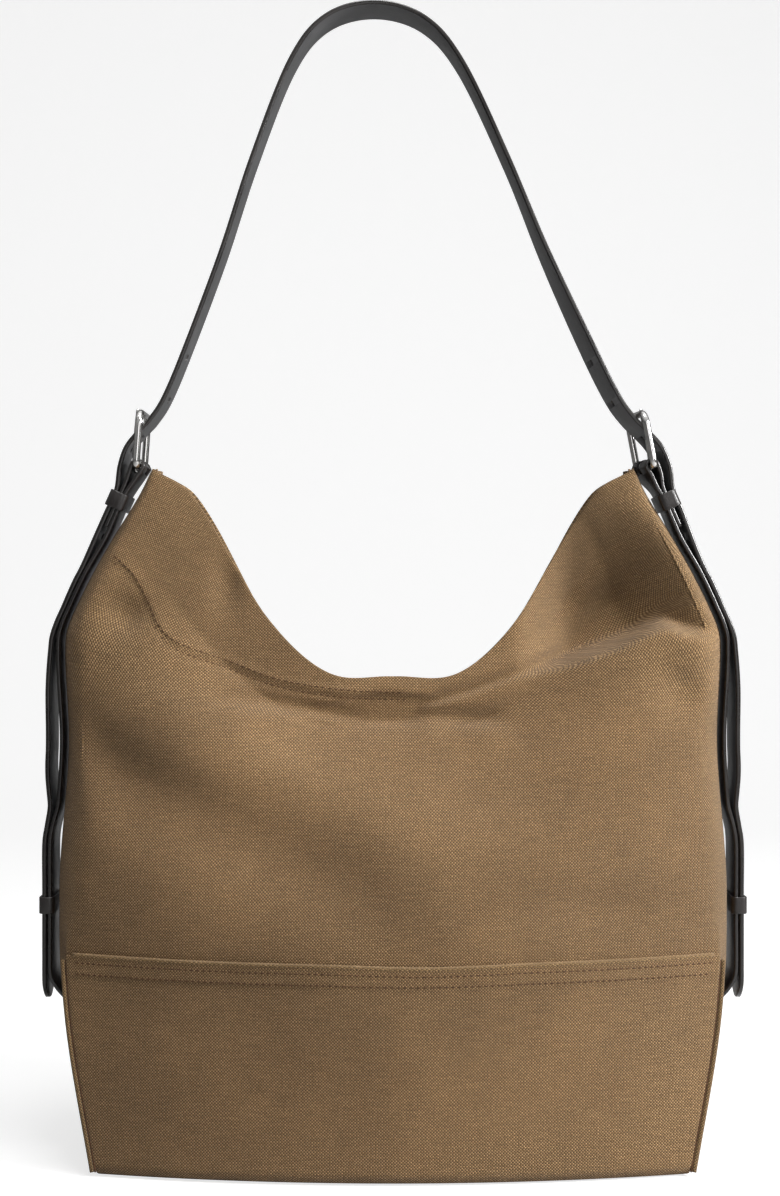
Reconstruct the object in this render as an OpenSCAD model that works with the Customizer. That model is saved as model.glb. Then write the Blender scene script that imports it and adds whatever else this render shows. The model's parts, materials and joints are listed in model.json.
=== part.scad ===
// Slouchy canvas hobo bag with a buckled leather shoulder strap.
// -Y is the front, +X is the right-hand side as the front is faced, and +Z is up.
// The origin is the middle of the base, on the surface that the bag stands on.

/* [Canvas body] */
// Height of the middle of the front mouth edge
mouth_z = 270; // [266:1:274]
// How much lower the middle of the back mouth edge lies
back_mouth_drop = 4; // [2:0.5:6]
// Height of the two canvas peaks that carry the strap
peak_z = 387; // [385:1:388]
// Half-width across the peaks
peak_x = 131; // [128:1:132]
// Half-width at the widest place, just above the band
belly_x = 190; // [187:1:192]
// Half-width of the base over its gussets
base_x = 170; // [166:1:172]
// Height of the lower canvas band
band_h = 118; // [114:1:122]
// Height of the panels that cover the foot of each gusset
gusset_base_h = 84; // [80:1:86]
// Half-depth of the base at its corners
base_y = 54; // [50:1:56]
// How far the base bulges between its corners, front and back
base_bulge = 18; // [14:1:20]
// Half-depth of the bag at its side seams, at the top of the band
belt_y = 38; // [36:1:40]
// How far the front and back bulge at the top of the band
belt_bulge = 38; // [34:1:40]
// Half-depth at the mouth and at the peaks
mouth_y = 14; // [14:0.5:16]
// How far the gussets bulge out past the side seams
gusset_bulge = 9; // [8:0.5:10]
// Canvas thickness
canvas_t = 1.5; // [1.3:0.1:1.6]
// Air between neighbouring layers
layer_gap = 0.3; // [0.2:0.05:0.4]

/* [Lining and pockets] */
// Half-depth of the lining in the middle
lining_y = 54; // [50:1:55]
// Height of the top of the lining's fixed part
lining_top = 186; // [180:1:188]
// Lining thickness
lining_t = 0.8; // [0.6:0.1:1]
// Width of each inner pocket
pocket_w = 140; // [120:5:150]
// Height of the middle of the zip
zip_z = 160; // [150:1:165]

/* [Straps] */
// Width of the shoulder strap and the side straps
strap_w = 30; // [28:0.5:30]
// Thickness of the shoulder strap
strap_t = 2.6; // [2.2:0.1:2.8]
// Thickness of the side straps and buckle loops
chape_t = 2.2; // [2:0.1:2.4]
// Height of the middle of the shoulder strap at the top of its arch
apex_z = 649; // [645:1:655]
// Radius of the top of the arch
arch_r = 52; // [50:1:54]
// How far the top of the arch leans to the left
arch_lean = 11; // [0:1:12]
// Height of the lower end of each strap tail
tail_end_z = 87; // [82:1:92]
// Wall of each leather keeper
keeper_t = 1.4; // [1.2:0.1:1.5]
// Height of each keeper along its strap
keeper_h = 9.5; // [8:0.5:10]
// Height of the lower keepers
lower_keeper_z = 141; // [136:1:146]
// Spacing of the adjustment holes
hole_pitch = 25.4; // [24:0.2:26]

/* [Buckles] */
// Distance of each buckle bar from the middle of the bag
bar_x = 144; // [143:0.5:145]
// Height of the buckle bars
bar_z = 388; // [387:0.5:389]
// Wire diameter of the buckle frames
wire_d = 4; // [3.6:0.1:4]
// Height of a buckle frame between its bars
frame_h = 30; // [29:0.5:31]
// Inward lean of the left buckle
left_lean = 4; // [2:1:6]
// Inward lean of the right buckle
right_lean = 11; // [8:1:12]
// Turn of the right buckle about the vertical
right_yaw = 8; // [0:1:9]

/* [Hidden] */
$fn = 48;

canvas_color = [0.55, 0.44, 0.32];
leather_color = [0.16, 0.14, 0.13];
metal_color = [0.62, 0.62, 0.64];
lining_color = [0.45, 0.40, 0.34];

lap = canvas_t + layer_gap;       // how far a lapped layer stands proud of the one under it
panel_foot = 2.3;                 // lowest point of the upright canvas, over the bottom panel
board_t = 2;                      // thickness of the base board and of the bottom panel
mouth_split = 0.5;                // share of the front's height where the mouth panels hinge
mouth_span = 0.7;                 // share of the front's width that the mouth panels cover
facing_foot = 0.78;               // share of the front's height where the facings end
lip_foot = 0.82;                  // share of the front's height where it turns upright below the mouth
edge_curl = 0.9;                  // how far a gusset curves away under the edges of a flat strap
tuck_room = chape_t + lap + 3 * layer_gap + edge_curl;  // depth of the side strap's end under the canvas
grid_u = 24;                      // facets across a canvas sheet
grid_v = 12;                      // facets up a canvas sheet

// Cubic through [input, output] pairs, with each pair's slope taken from its neighbours.
function pair_slope(p, i) =
    let (a = max(i - 1, 0), b = min(i + 1, len(p) - 1))
    (p[b][1] - p[a][1]) / (p[b][0] - p[a][0]);
function pair_before(p, x, i = 0) =
    i >= len(p) - 2 || x <= p[i + 1][0] ? i : pair_before(p, x, i + 1);
function smooth_at(p, x) =
    let (
        i = pair_before(p, x),
        h = p[i + 1][0] - p[i][0],
        t = (x - p[i][0]) / h,
        s = t * t * (3 - 2 * t)
    )
    p[i][1] * (1 - s) + p[i + 1][1] * s
        + h * t * (1 - t) * ((1 - t) * pair_slope(p, i) - t * pair_slope(p, i + 1));

function ease(low, high, x) =
    let (t = min(1, max(0, (x - low) / (high - low))))
    t * t * (3 - 2 * t);
function unit(v) = v / norm(v);
function flatten(rows) = [for (row = rows) for (item = row) item];
function spread(low, high, n) = [for (i = [0:n]) low + (high - low) * i / n];

// Half-width of the bag over its gussets at height z.
side_outline = [
    [0, base_x], [gusset_base_h, base_x + 16], [150, belly_x], [230, belly_x - 5], [290, belly_x - 3],
    [306, belly_x - 8], [347, peak_x + 29], [374, peak_x + 8], [peak_z, peak_x]
];
function side_x(z) = smooth_at(side_outline, z);
// Half-width at the side seams, where the front and back meet the gussets.
function seam_x(z) = side_x(z) - gusset_bulge * (1 - pow(max(0, (z - 230) / (peak_z - 230)), 2));
// Half-depth at the side seams.
function seam_y(z) =
    z < band_h ? base_y + (belt_y - base_y) * z / band_h
    : mouth_y + (belt_y - mouth_y) * (1 - pow((z - band_h) / (peak_z - band_h), 1.5));

// Height of the mouth edge at share u of the half-width.
function mouth_edge(u, mid_z) = smooth_at(
    [[0, mid_z], [0.28, mid_z + 2], [0.54, mid_z + 33], [0.78, 356], [0.88, 375], [1, peak_z]], abs(u));
foot_tuck = 16;                   // how steeply the front sheet's foot turns in behind the band
seam_hold = 16;                   // how close to the side seams that turning-in carries on
// Point of the front sheet at share u of its half-width and share v of its height above the band.
function front_point(u, v, mid_z = mouth_z) =
    let (
        z_side = band_h + (peak_z - band_h) * v,
        edge = seam_y(z_side),
        rise = min(1, max(0, v) / lip_foot),
        middle = mouth_y + (belt_y + belt_bulge - mouth_y) * (1 - pow(rise, 2.2))
    )
    [
        seam_x(z_side) * u,
        -edge - (middle - edge) * (1 - u * u) - foot_tuck * min(0, v) * (1 - pow(u, seam_hold)),
        band_h + (mouth_edge(u, mid_z) - band_h) * v
    ];
// Point of the lower band at share u of its half-width and height z.
function band_point(u, z) =
    let (
        edge = seam_y(z),
        middle = base_y + base_bulge + (belt_y + belt_bulge - base_y - base_bulge) * z / band_h
    )
    [seam_x(z) * u, -edge - (middle - edge) * (1 - u * u) - lap, z];
// Point of a gusset sheet whose middle lies at x = middle_x and whose edges lie `proud` past the seam.
function gusset_point(w, z, middle_x, proud) =
    let (edge = seam_x(z) + proud)
    [edge + (middle_x - edge) * (1 - w * w), (seam_y(z) - lap) * w, z];
function gusset_middle(z) = side_x(z) - tuck_room * (1 - ease(gusset_base_h + 2, gusset_base_h + 20, z));

// Closed sheet between a grid of points and the same grid moved by `inward`.
// Rows run up the sheet, and the points of a row run so that (along the row) x (up) faces outwards.
module sheet(rows, inward) {
    n = len(rows[0]);
    m = len(rows);
    back = n * m;
    outer = flatten(rows);
    inner = [for (p = outer) p + inward];
    quads = concat(
        [for (j = [0:m - 2]) for (i = [0:n - 2])
            [j * n + i, (j + 1) * n + i, (j + 1) * n + i + 1, j * n + i + 1]],
        [for (j = [0:m - 2]) for (i = [0:n - 2])
            [back + j * n + i, back + j * n + i + 1, back + (j + 1) * n + i + 1, back + (j + 1) * n + i]],
        [for (i = [0:n - 2]) [i, i + 1, back + i + 1, back + i]],
        [for (i = [0:n - 2])
            [(m - 1) * n + i, back + (m - 1) * n + i, back + (m - 1) * n + i + 1, (m - 1) * n + i + 1]],
        [for (j = [0:m - 2]) [j * n, back + j * n, back + (j + 1) * n, (j + 1) * n]],
        [for (j = [0:m - 2])
            [j * n + n - 1, (j + 1) * n + n - 1, back + (j + 1) * n + n - 1, back + j * n + n - 1]]
    );
    polyhedron(concat(outer, inner), flatten([for (q = quads) [[q[0], q[1], q[2]], [q[0], q[2], q[3]]]]));
}

// Closed bar through a list of rings that each run anticlockwise about the direction of travel.
module sweep(rings) {
    n = len(rings[0]);
    m = len(rings);
    quads = [for (j = [0:m - 2]) for (i = [0:n - 1])
        [j * n + i, (j + 1) * n + i, (j + 1) * n + (i + 1) % n, j * n + (i + 1) % n]];
    sides = flatten([for (q = quads) [[q[0], q[1], q[2]], [q[0], q[2], q[3]]]]);
    first = [for (i = [0:n - 1]) i];
    last = [for (i = [n - 1:-1:0]) (m - 1) * n + i];
    polyhedron(flatten(rings), concat(sides, [first, last]));
}

// Open bucket between outer and inner rings, all anticlockwise from above and listed upwards.
module bucket(outer, inner) {
    n = len(outer[0]);
    m = len(outer);
    in0 = n * m;
    quads = concat(
        [for (j = [0:m - 2]) for (i = [0:n - 1])
            [j * n + i, (j + 1) * n + i, (j + 1) * n + (i + 1) % n, j * n + (i + 1) % n]],
        [for (j = [0:m - 2]) for (i = [0:n - 1])
            let (low = in0 + j * n, next = (i + 1) % n)
            [low + i, low + next, low + n + next, low + n + i]],
        [for (i = [0:n - 1])
            let (rim = (m - 1) * n, next = (i + 1) % n)
            [rim + i, in0 + rim + i, in0 + rim + next, rim + next]]
    );
    sides = flatten([for (q = quads) [[q[0], q[1], q[2]], [q[0], q[2], q[3]]]]);
    foot = [for (i = [0:n - 1]) i];
    floor_top = [for (i = [n - 1:-1:0]) in0 + i];
    polyhedron(concat(flatten(outer), flatten(inner)), concat(sides, [foot, floor_top]));
}

// Turns a front piece into the matching back piece.
module at_back() {
    rotate([0, 0, 180]) children();
}
// Turns a right-hand piece into the matching left-hand piece.
module at_left() {
    mirror([1, 0, 0]) children();
}

// Canvas ---------------------------------------------------------------------------------------

// The fixed part of the front: half height under the mouth panel, full height beside it.
module fixed_sheet(mid_z) {
    low = -0.04;
    side_us = spread(mouth_span, 1, 4);
    left_us = -1 * [for (i = [len(side_us) - 1:-1:0]) side_us[i]];
    foot_us = concat(left_us, spread(-mouth_span * 7 / 8, mouth_span * 7 / 8, 14), side_us);
    foot_vs = concat([low], spread(0, mouth_split, grid_v / 2));
    side_vs = concat([foot_vs[grid_v / 2]], spread(mouth_split, 1, grid_v));
    color(canvas_color) {
        grid_sheet(foot_us, foot_vs, mid_z);
        grid_sheet(left_us, side_vs, mid_z);
        grid_sheet(side_us, side_vs, mid_z);
    }
}
module grid_sheet(us, vs, mid_z) {
    sheet([for (v = vs) [for (u = us) front_point(u, v, mid_z)]], [0, canvas_t, 0]);
}
module front_panel() fixed_sheet(mouth_z);
module back_panel() at_back() fixed_sheet(mouth_z - back_mouth_drop);

module mouth_sheet(mid_z) {
    side_gap = 0.012;
    foot_gap = 0.008;
    us = spread(side_gap - mouth_span, mouth_span - side_gap, 16);
    color(canvas_color) grid_sheet(us, spread(mouth_split + foot_gap, 1, grid_v), mid_z);
}
module front_mouth_panel() mouth_sheet(mouth_z);
module back_mouth_panel() at_back() mouth_sheet(mouth_z - back_mouth_drop);

module gusset_sheet() {
    zs = concat(
        spread(panel_foot, gusset_base_h + 2, 5), spread(gusset_base_h + 6, gusset_base_h + 20, 4),
        spread(gusset_base_h + 34, peak_z - 1, 17));
    rows = [for (z = zs) [for (w = spread(-1, 1, 8)) gusset_point(w, z, gusset_middle(z), 0)]];
    color(canvas_color) sheet(rows, [-canvas_t, 0, 0]);
}
module right_gusset() gusset_sheet();
module left_gusset() at_left() gusset_sheet();

module band_sheet() {
    rows = [for (z = spread(panel_foot, band_h, 6)) [for (u = spread(-1, 1, grid_u)) band_point(u, z)]];
    color(canvas_color) sheet(rows, [0, canvas_t, 0]);
}
module front_band() band_sheet();
module back_band() at_back() band_sheet();

module gusset_base_sheet() {
    rows = [for (z = spread(panel_foot, gusset_base_h, 6))
        [for (w = spread(-1, 1, 8)) gusset_point(w, z, side_x(z), lap)]];
    color(canvas_color) sheet(rows, [-canvas_t, 0, 0]);
}
module right_gusset_base() gusset_base_sheet();
module left_gusset_base() at_left() gusset_base_sheet();

// Outline of the base, drawn in by `inset`.
function base_outline(inset) =
    let (
        front = [for (u = spread(-1, 1, grid_u)) band_point(u, 0)],
        side = [for (w = spread(-1, 1, 8)) gusset_point(w, 0, side_x(0), lap)],
        half = concat(front, side)
    )
    [for (p = concat(half, -half)) [p[0] * (1 - inset / base_x), p[1] * (1 - inset / base_y)]];
module bottom_panel() {
    color(canvas_color) linear_extrude(board_t) polygon(base_outline(0));
}
module base_board() {
    inset = 7;
    color("dimgray") translate([0, 0, panel_foot]) linear_extrude(board_t) polygon(base_outline(inset));
}

module corner_cord() {
    cord_r = 1.3;
    sides = 8;
    rings = [for (z = spread(panel_foot, band_h - 4, 10))
        [for (i = [0:sides - 1])
            [
                seam_x(z) + cord_r + 0.5 + cord_r * cos(360 * i / sides),
                -seam_y(z) - lap / 2 + cord_r * sin(360 * i / sides),
                z
            ]]];
    sweep(rings);
}
module corner_piping() {
    color(canvas_color * 0.8) {
        corner_cord();
        at_left() corner_cord();
        mirror([0, 1, 0]) corner_cord();
        at_back() corner_cord();
    }
}

// Lining and pockets ---------------------------------------------------------------------------

lining_foot = panel_foot + board_t + layer_gap;
function lining_ring(z, inset) =
    let (
        x = seam_x(z) - 5 - inset,
        edge = seam_y(z) - 5 - inset,
        middle = lining_y - inset,
        front = [for (u = spread(-1, 1, grid_u)) [x * u, -edge - (middle - edge) * (1 - pow(u, 4)), z]]
    )
    concat(front, [for (p = front) [-p[0], -p[1], p[2]]]);
module lining() {
    outer = [for (z = spread(lining_foot, lining_top, 8)) lining_ring(z, 0)];
    inner = [for (z = spread(lining_foot + lining_t, lining_top, 8)) lining_ring(z, lining_t)];
    color(lining_color) bucket(outer, inner);
}

facing_t = 1;
washer_t = 0.7;
facing_in = canvas_t + washer_t + 2 * layer_gap;   // from the canvas face to the facing's near side
module facing_sheet(mid_z) {
    side_gap = 0.03;
    rows = [for (v = spread(facing_foot, 0.995, 5))
        [for (u = spread(side_gap - mouth_span, mouth_span - side_gap, 16))
            front_point(u, v, mid_z) + [0, facing_in, 0]]];
    color(lining_color) sheet(rows, [0, facing_t, 0]);
}
module front_facing() facing_sheet(mouth_z);
module back_facing() at_back() facing_sheet(mouth_z - back_mouth_drop);

pocket_y = lining_y - 2 * lining_t - 4 * layer_gap;   // inner face of what is sewn to the lining
module slip_pocket() {
    pocket_h = 105;
    color(lining_color)
        translate([-pocket_w / 2, -pocket_y - lining_t, zip_z - pocket_h + 10])
            cube([pocket_w, lining_t, pocket_h]);
}
pouch_h = 100;
pouch_t = 2.4;
module zip_pocket_bag() {
    color(lining_color)
        translate([-pocket_w / 2, pocket_y - pouch_t, zip_z - 14 - pouch_h])
            difference() {
                cube([pocket_w, pouch_t, pouch_h]);
                translate([lining_t, lining_t, lining_t])
                    cube([pocket_w - 2 * lining_t, pouch_t - 2 * lining_t, pouch_h]);
            }
}
tape_h = 24;
teeth_w = 4;
teeth_t = 1.2;
teeth_y = pocket_y - lining_t - teeth_t;
module zip_tape() {
    color("dimgray")
        translate([-pocket_w / 2, pocket_y - lining_t + 0.02, zip_z - tape_h / 2])
            cube([pocket_w, lining_t, tape_h]);
}
module zip_teeth() {
    pitch = 2.5;
    tooth_w = 1.5;
    count = floor((pocket_w - 10) / pitch);
    color(metal_color) {
        for (i = [0:count - 1])
            translate([(i - (count - 1) / 2) * pitch - tooth_w / 2, teeth_y, zip_z - teeth_w / 2])
                cube([tooth_w, teeth_t, teeth_w]);
        translate([-pocket_w / 2 + 2, teeth_y + 0.4, zip_z - 0.4]) cube([pocket_w - 4, 0.5, 0.8]);
    }
}
slider_l = 9;
slider_x = pocket_w / 2 - 14;
slider_y = teeth_y - 1.4;
pull_pin_r = 0.7;
pull_pin_y = slider_y - 1.6;
module zip_slider() {
    slider_h = 8;
    room = 0.2;
    ear_w = 1;
    color(metal_color) {
        difference() {
            translate([slider_x, slider_y, zip_z - slider_h / 2]) cube([slider_l, 2.5, slider_h]);
            translate([slider_x - 1, teeth_y - room, zip_z - teeth_w / 2 - room])
                cube([slider_l + 2, 3, teeth_w + 2 * room]);
        }
        for (x = [slider_x + 0.5, slider_x + slider_l - 0.5 - ear_w])
            translate([x, pull_pin_y - 1, zip_z - 1]) cube([ear_w, 2.8, 2]);
        translate([slider_x + 1, pull_pin_y, zip_z]) rotate([0, 90, 0])
            cylinder(r = pull_pin_r, h = slider_l - 2);
    }
}
module zip_pull() {
    pull_w = 5;
    pull_l = 24;
    eye_r = 1.5;
    color(metal_color)
        translate([slider_x + slider_l / 2, pull_pin_y, zip_z]) rotate([0, 90, 0]) difference() {
            union() {
                cylinder(r = eye_r, h = pull_w, center = true);
                translate([0, -0.6, -pull_w / 2]) cube([pull_l, 1.2, pull_w]);
            }
            cylinder(r = pull_pin_r + 0.06, h = pull_w + 1, center = true);
        }
}

// Magnetic snap, on the facings just under the mouth edge.
snap_v = 0.91;
snap_r = 9;
snap_base_t = 2;
function snap_tilt(v, mid_z) =
    let (d = front_point(0, v + 0.01, mid_z) - front_point(0, v - 0.01, mid_z)) atan2(d[1], d[2]);
module on_facing(mid_z, depth) {
    translate(front_point(0, snap_v, mid_z)) rotate([-snap_tilt(snap_v, mid_z) - 90, 0, 0])
        translate([0, 0, depth]) children();
}
// Depth from the canvas face, along the snap's own axis.
snap_depth = facing_in + facing_t + 0.4;
module snap_stud() {
    color(metal_color) on_facing(mouth_z, snap_depth) {
        cylinder(r = snap_r, h = snap_base_t);
        cylinder(r = 3.2, h = snap_base_t + 1.5);
    }
}
module snap_socket() {
    color(metal_color) at_back() on_facing(mouth_z - back_mouth_drop, snap_depth) difference() {
        cylinder(r = snap_r, h = snap_base_t + 1);
        translate([0, 0, snap_base_t - 0.6]) cylinder(r = 3.6, h = 3);
    }
}
module snap_washer(mid_z) {
    color(metal_color) on_facing(mid_z, canvas_t + layer_gap) difference() {
        cylinder(r = snap_r - 1, h = washer_t - 0.3);
        translate([0, 0, -1]) cylinder(r = 3.2, h = 3);
    }
}
module snap_stud_washer() snap_washer(mouth_z);
module snap_socket_washer() at_back() snap_washer(mouth_z - back_mouth_drop);

// Leather --------------------------------------------------------------------------------------

// Smooth curve through a list of points: s counts points, and may be a fraction.
function curve_at(p, s) =
    let (
        last = len(p) - 1,
        i = min(last - 1, max(0, floor(s))),
        t = s - i,
        p0 = p[max(i - 1, 0)], p1 = p[i], p2 = p[i + 1], p3 = p[min(i + 2, last)]
    )
    0.5 * (2 * p1 + (p2 - p0) * t + (2 * p0 - 5 * p1 + 4 * p2 - p3) * t * t
        + (3 * p1 - p0 - 3 * p2 + p3) * t * t * t);
function curve_dir(p, s) = unit(curve_at(p, s + 0.02) - curve_at(p, s - 0.02));

// Middle line of the right half of the shoulder strap as [x, z], from the arch down to the buckle.
half_strap = [
    [0, apex_z],
    [arch_r * sin(32), apex_z - arch_r * (1 - cos(32))],
    [arch_r * sin(68), apex_z - arch_r * (1 - cos(68))],
    [72, apex_z - 87],
    [92, apex_z - 141],
    [114.5, bar_z + 66],
    [bar_x - 17, bar_z + 39],
    [bar_x - 8.6, bar_z + 26.6],
    [bar_x - 2.5, bar_z + 20.3],
    [bar_x + 5.4, bar_z + 11],
    [bar_x + 9.7, bar_z]
];
strap_last = len(half_strap) - 1;
prong_hole_s = strap_last - 1.65;
function lean_shift(z) = arch_lean * max(0, z - bar_z) / (apex_z - bar_z);
// Point of the strap at s, where s runs from -strap_last (left end) to strap_last (right end).
function strap_point(s) =
    let (q = curve_at(half_strap, abs(s)))
    [sign(s) * q[0] - lean_shift(q[1]), 0, q[1]];
function strap_twist(s) = s > 0 ? right_yaw * ease(2.5, 7, s) : 0;
// Walks `distance` along the strap from s towards the arch.
function walk_up(s, distance, step = 0.02) =
    distance <= 0 ? s : walk_up(s - step, distance - norm(strap_point(s) - strap_point(s - step)));

function strap_ring(s) =
    let (
        s0 = min(max(s, 0.01 - strap_last), strap_last - 0.01),
        t = unit(strap_point(s0 + 0.01) - strap_point(s0 - 0.01)),
        across = [-sin(strap_twist(s)), cos(strap_twist(s)), 0],
        w = unit(across - (across * t) * t) * strap_w / 2,
        n = cross(t, unit(w)) * strap_t / 2,
        c = strap_point(s)
    )
    [c - w - n, c + w - n, c + w + n, c - w + n];

// Places children on a strap's middle line, with X along the strap and Z along its face normal.
module on_strap(p, dir) {
    translate(p) rotate([0, atan2(-dir[2], dir[0]), 0]) children();
}
module slot(length, width) {
    cube([length - width, width, 12], center = true);
    for (x = [-1, 1]) translate([x * (length - width) / 2, 0, 0]) cylinder(d = width, h = 12, center = true);
}
module strap_holes(side) {
    s0 = prong_hole_s;
    dir0 = unit(strap_point(side * (s0 + 0.05)) - strap_point(side * (s0 - 0.05)));
    on_strap(strap_point(side * s0), side * dir0) translate([side * 1.2, 0, 0]) slot(14, 5);
    for (k = [1, 2]) {
        s = walk_up(s0, k * hole_pitch);
        dir = unit(strap_point(side * (s + 0.05)) - strap_point(side * (s - 0.05)));
        on_strap(strap_point(side * s), dir) cylinder(d = 4, h = 12, center = true);
    }
}
module handle_strap() {
    steps = 4 * strap_last;
    color(leather_color) difference() {
        sweep([for (s = spread(-strap_last, strap_last, 2 * steps)) strap_ring(s)]);
        strap_holes(1);
        strap_holes(-1);
    }
}

// Where the upper keeper sits, and the direction that the side strap and tail run there.
keeper_tilt = 24;
keeper_dir = [sin(keeper_tilt), -cos(keeper_tilt)];
keeper_out = [cos(keeper_tilt), sin(keeper_tilt)];
keeper_mid = [bar_x + 11.5, bar_z - 19.2];
keeper_room = 0.25;
keeper_inside = strap_t + 2 * chape_t + 4 * keeper_room;
side_strap_off = -keeper_inside / 2 + keeper_room + chape_t / 2;
fold_off = side_strap_off + chape_t;
tail_off = keeper_inside / 2 - keeper_room - strap_t / 2;

// Straight run of both side straps and tails that the lower keepers slide on.
lower_run = 34;
lower_run_x = side_x(150) + layer_gap + keeper_t + keeper_room + chape_t / 2;
// Middle line of a side strap at height z, below the upper keeper.
function side_strap_x(z) =
    let (
        room = 0.5 + 0.5 * ease(gusset_base_h, gusset_base_h + 10, z),
        hug = gusset_middle(z) + chape_t / 2 + room,
        straight = 1 - ease(lower_run, lower_run + 24, abs(z - lower_keeper_z))
    )
    hug * (1 - straight) + lower_run_x * straight;
tail_gap = (strap_t + chape_t) / 2 + keeper_room;
function tail_x(z) = side_strap_x(z) + tail_gap + 2 * ease(175, 215, z) * (1 - ease(235, 290, z)) + 0.4;

function along_keeper(off, d) = keeper_mid + keeper_out * off + keeper_dir * d;
strap_zs = [for (z = [332:-8:196]) z];
low_zs = [186, 175, 107];
side_strap_line = concat(
    [along_keeper(side_strap_off, -4.5), along_keeper(side_strap_off, 22)],
    [for (z = strap_zs) [side_strap_x(z) + 0.8 * ease(300, 330, z), z]],
    [for (z = low_zs) [side_strap_x(z), z]],
    [for (z = [100, 94, gusset_base_h + 2, gusset_base_h - 12]) [side_strap_x(z), z]]
);
tail_line = concat(
    [along_keeper(tail_off, -5), along_keeper(tail_off, 22)],
    [for (z = strap_zs) [tail_x(z) + 1.2 * ease(300, 330, z), z]],
    [for (z = low_zs) [tail_x(z), z]],
    [[tail_x(107), tail_end_z + strap_w / 3]]
);

// Outline of a strap of thickness t seen from its edge, along a line of [x, z] points.
function line_normal(p, i) =
    let (d = unit(p[min(i + 1, len(p) - 1)] - p[max(i - 1, 0)])) [-d[1], d[0]];
function strip_outline(p, t) = concat(
    [for (i = [0:len(p) - 1]) p[i] + line_normal(p, i) * t / 2],
    [for (i = [len(p) - 1:-1:0]) p[i] - line_normal(p, i) * t / 2]
);
module strip(p, t) {
    rotate([90, 0, 0]) linear_extrude(strap_w, center = true) polygon(strip_outline(p, t));
}

module side_strap() {
    color(leather_color) {
        strip(side_strap_line, chape_t);
        // The strap's folded end, sewn down on its outer face under the keeper.
        strip([along_keeper(fold_off - 0.05, -4.5), along_keeper(fold_off - 0.05, 16)], chape_t);
    }
}
module right_side_strap() side_strap();
module left_side_strap() at_left() side_strap();

module strap_tail() {
    end = [tail_x(107), tail_end_z + strap_w / 3];
    color(leather_color) difference() {
        union() {
            strip(tail_line, strap_t);
            // The free end narrows to a blunt point.
            translate([end[0], 0, end[1]]) rotate([0, -90, 0]) linear_extrude(strap_t, center = true)
                polygon([
                    [0.02, strap_w / 2], [0.02, -strap_w / 2], [-strap_w / 6, -strap_w / 2.6],
                    [-strap_w / 3, -strap_w / 8], [-strap_w / 3, strap_w / 8], [-strap_w / 6, strap_w / 2.6]
                ]);
        }
        for (d = [31, 31 + hole_pitch]) {
            z = keeper_mid[1] - d * cos(keeper_tilt);
            on_strap([tail_x(z), 0, z], [keeper_dir[0], 0, keeper_dir[1]])
                cylinder(d = 4, h = 16, center = true);
        }
    }
}
module right_strap_tail() strap_tail();
module left_strap_tail() at_left() strap_tail();

// A keeper round straps `inside` thick, with its own axis along Z.
module keeper(inside) {
    width = strap_w + 2 * keeper_room;
    linear_extrude(keeper_h, center = true) difference() {
        square([inside + 2 * keeper_t, width + 2 * keeper_t], center = true);
        square([inside, width], center = true);
    }
}
module upper_keeper() {
    color(leather_color) translate([keeper_mid[0], 0, keeper_mid[1]])
        rotate([0, -keeper_tilt, 0]) keeper(keeper_inside);
}
module right_upper_keeper() upper_keeper();
module left_upper_keeper() at_left() upper_keeper();

lower_inside = tail_x(lower_keeper_z) - lower_run_x + (strap_t + chape_t) / 2 + 2 * keeper_room;
module lower_keeper() {
    inner_face = lower_run_x - chape_t / 2 - keeper_room;
    color(leather_color) translate([inner_face + lower_inside / 2, 0, lower_keeper_z]) keeper(lower_inside);
}
module right_lower_keeper() lower_keeper();
module left_lower_keeper() at_left() lower_keeper();

// Buckles --------------------------------------------------------------------------------------

wire_r = wire_d / 2;
frame_room = 1.2;                        // air between the strap's edge and a side wire
frame_y = strap_w / 2 + frame_room + wire_r;    // from the middle of the frame to its side wires
bend_r = 6;                              // bend of the frame's top corners
// Places children in a buckle's own frame: bar along Y, frame up Z, outboard face +X.
module at_bar(lean, yaw) {
    translate([bar_x, 0, bar_z]) rotate([0, 0, yaw]) rotate([0, -lean, 0]) children();
}
module wire(length) cylinder(r = wire_r, h = length);
module buckle_frame(lean, yaw) {
    color(metal_color) at_bar(lean, yaw) {
        translate([0, -frame_y, 0]) rotate([-90, 0, 0]) wire(2 * frame_y);
        translate([0, bend_r - frame_y, frame_h]) rotate([-90, 0, 0]) wire(2 * (frame_y - bend_r));
        for (side = [-1, 1]) {
            translate([0, side * frame_y, 0]) sphere(wire_r);
            translate([0, side * frame_y, 0]) wire(frame_h - bend_r);
            translate([0, side * (frame_y - bend_r), frame_h - bend_r])
                rotate([90, 0, 90]) rotate(side > 0 ? 0 : 90) rotate_extrude(angle = 90)
                    translate([bend_r, 0]) circle(wire_r);
        }
    }
}
module right_buckle_frame() buckle_frame(right_lean, right_yaw);
module left_buckle_frame() at_left() buckle_frame(left_lean, 0);

bar_clearance = 0.08;
prong_r = 1.4;
prong_ring_r = wire_r + bar_clearance + 1.6;
prong_w = 4;
prong_over = 3;                          // how far the tip reaches past the top bar
module buckle_prong(lean, yaw) {
    root_x = wire_r + bar_clearance + prong_r - 0.4;
    tip_x = wire_r + prong_r + 0.1;
    length = frame_h + prong_over;
    slope = atan2(tip_x - root_x, frame_h);
    color(metal_color) at_bar(lean, yaw) difference() {
        union() {
            rotate([90, 0, 0]) cylinder(r = prong_ring_r, h = prong_w, center = true);
            translate([root_x, 0, 0]) rotate([0, slope, 0]) {
                cylinder(r = prong_r, h = length);
                translate([0, 0, length]) sphere(prong_r);
            }
        }
        rotate([90, 0, 0]) cylinder(r = wire_r + bar_clearance, h = prong_w + 2, center = true);
    }
}
module right_buckle_prong() buckle_prong(right_lean, right_yaw);
module left_buckle_prong() at_left() buckle_prong(left_lean, 0);

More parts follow.
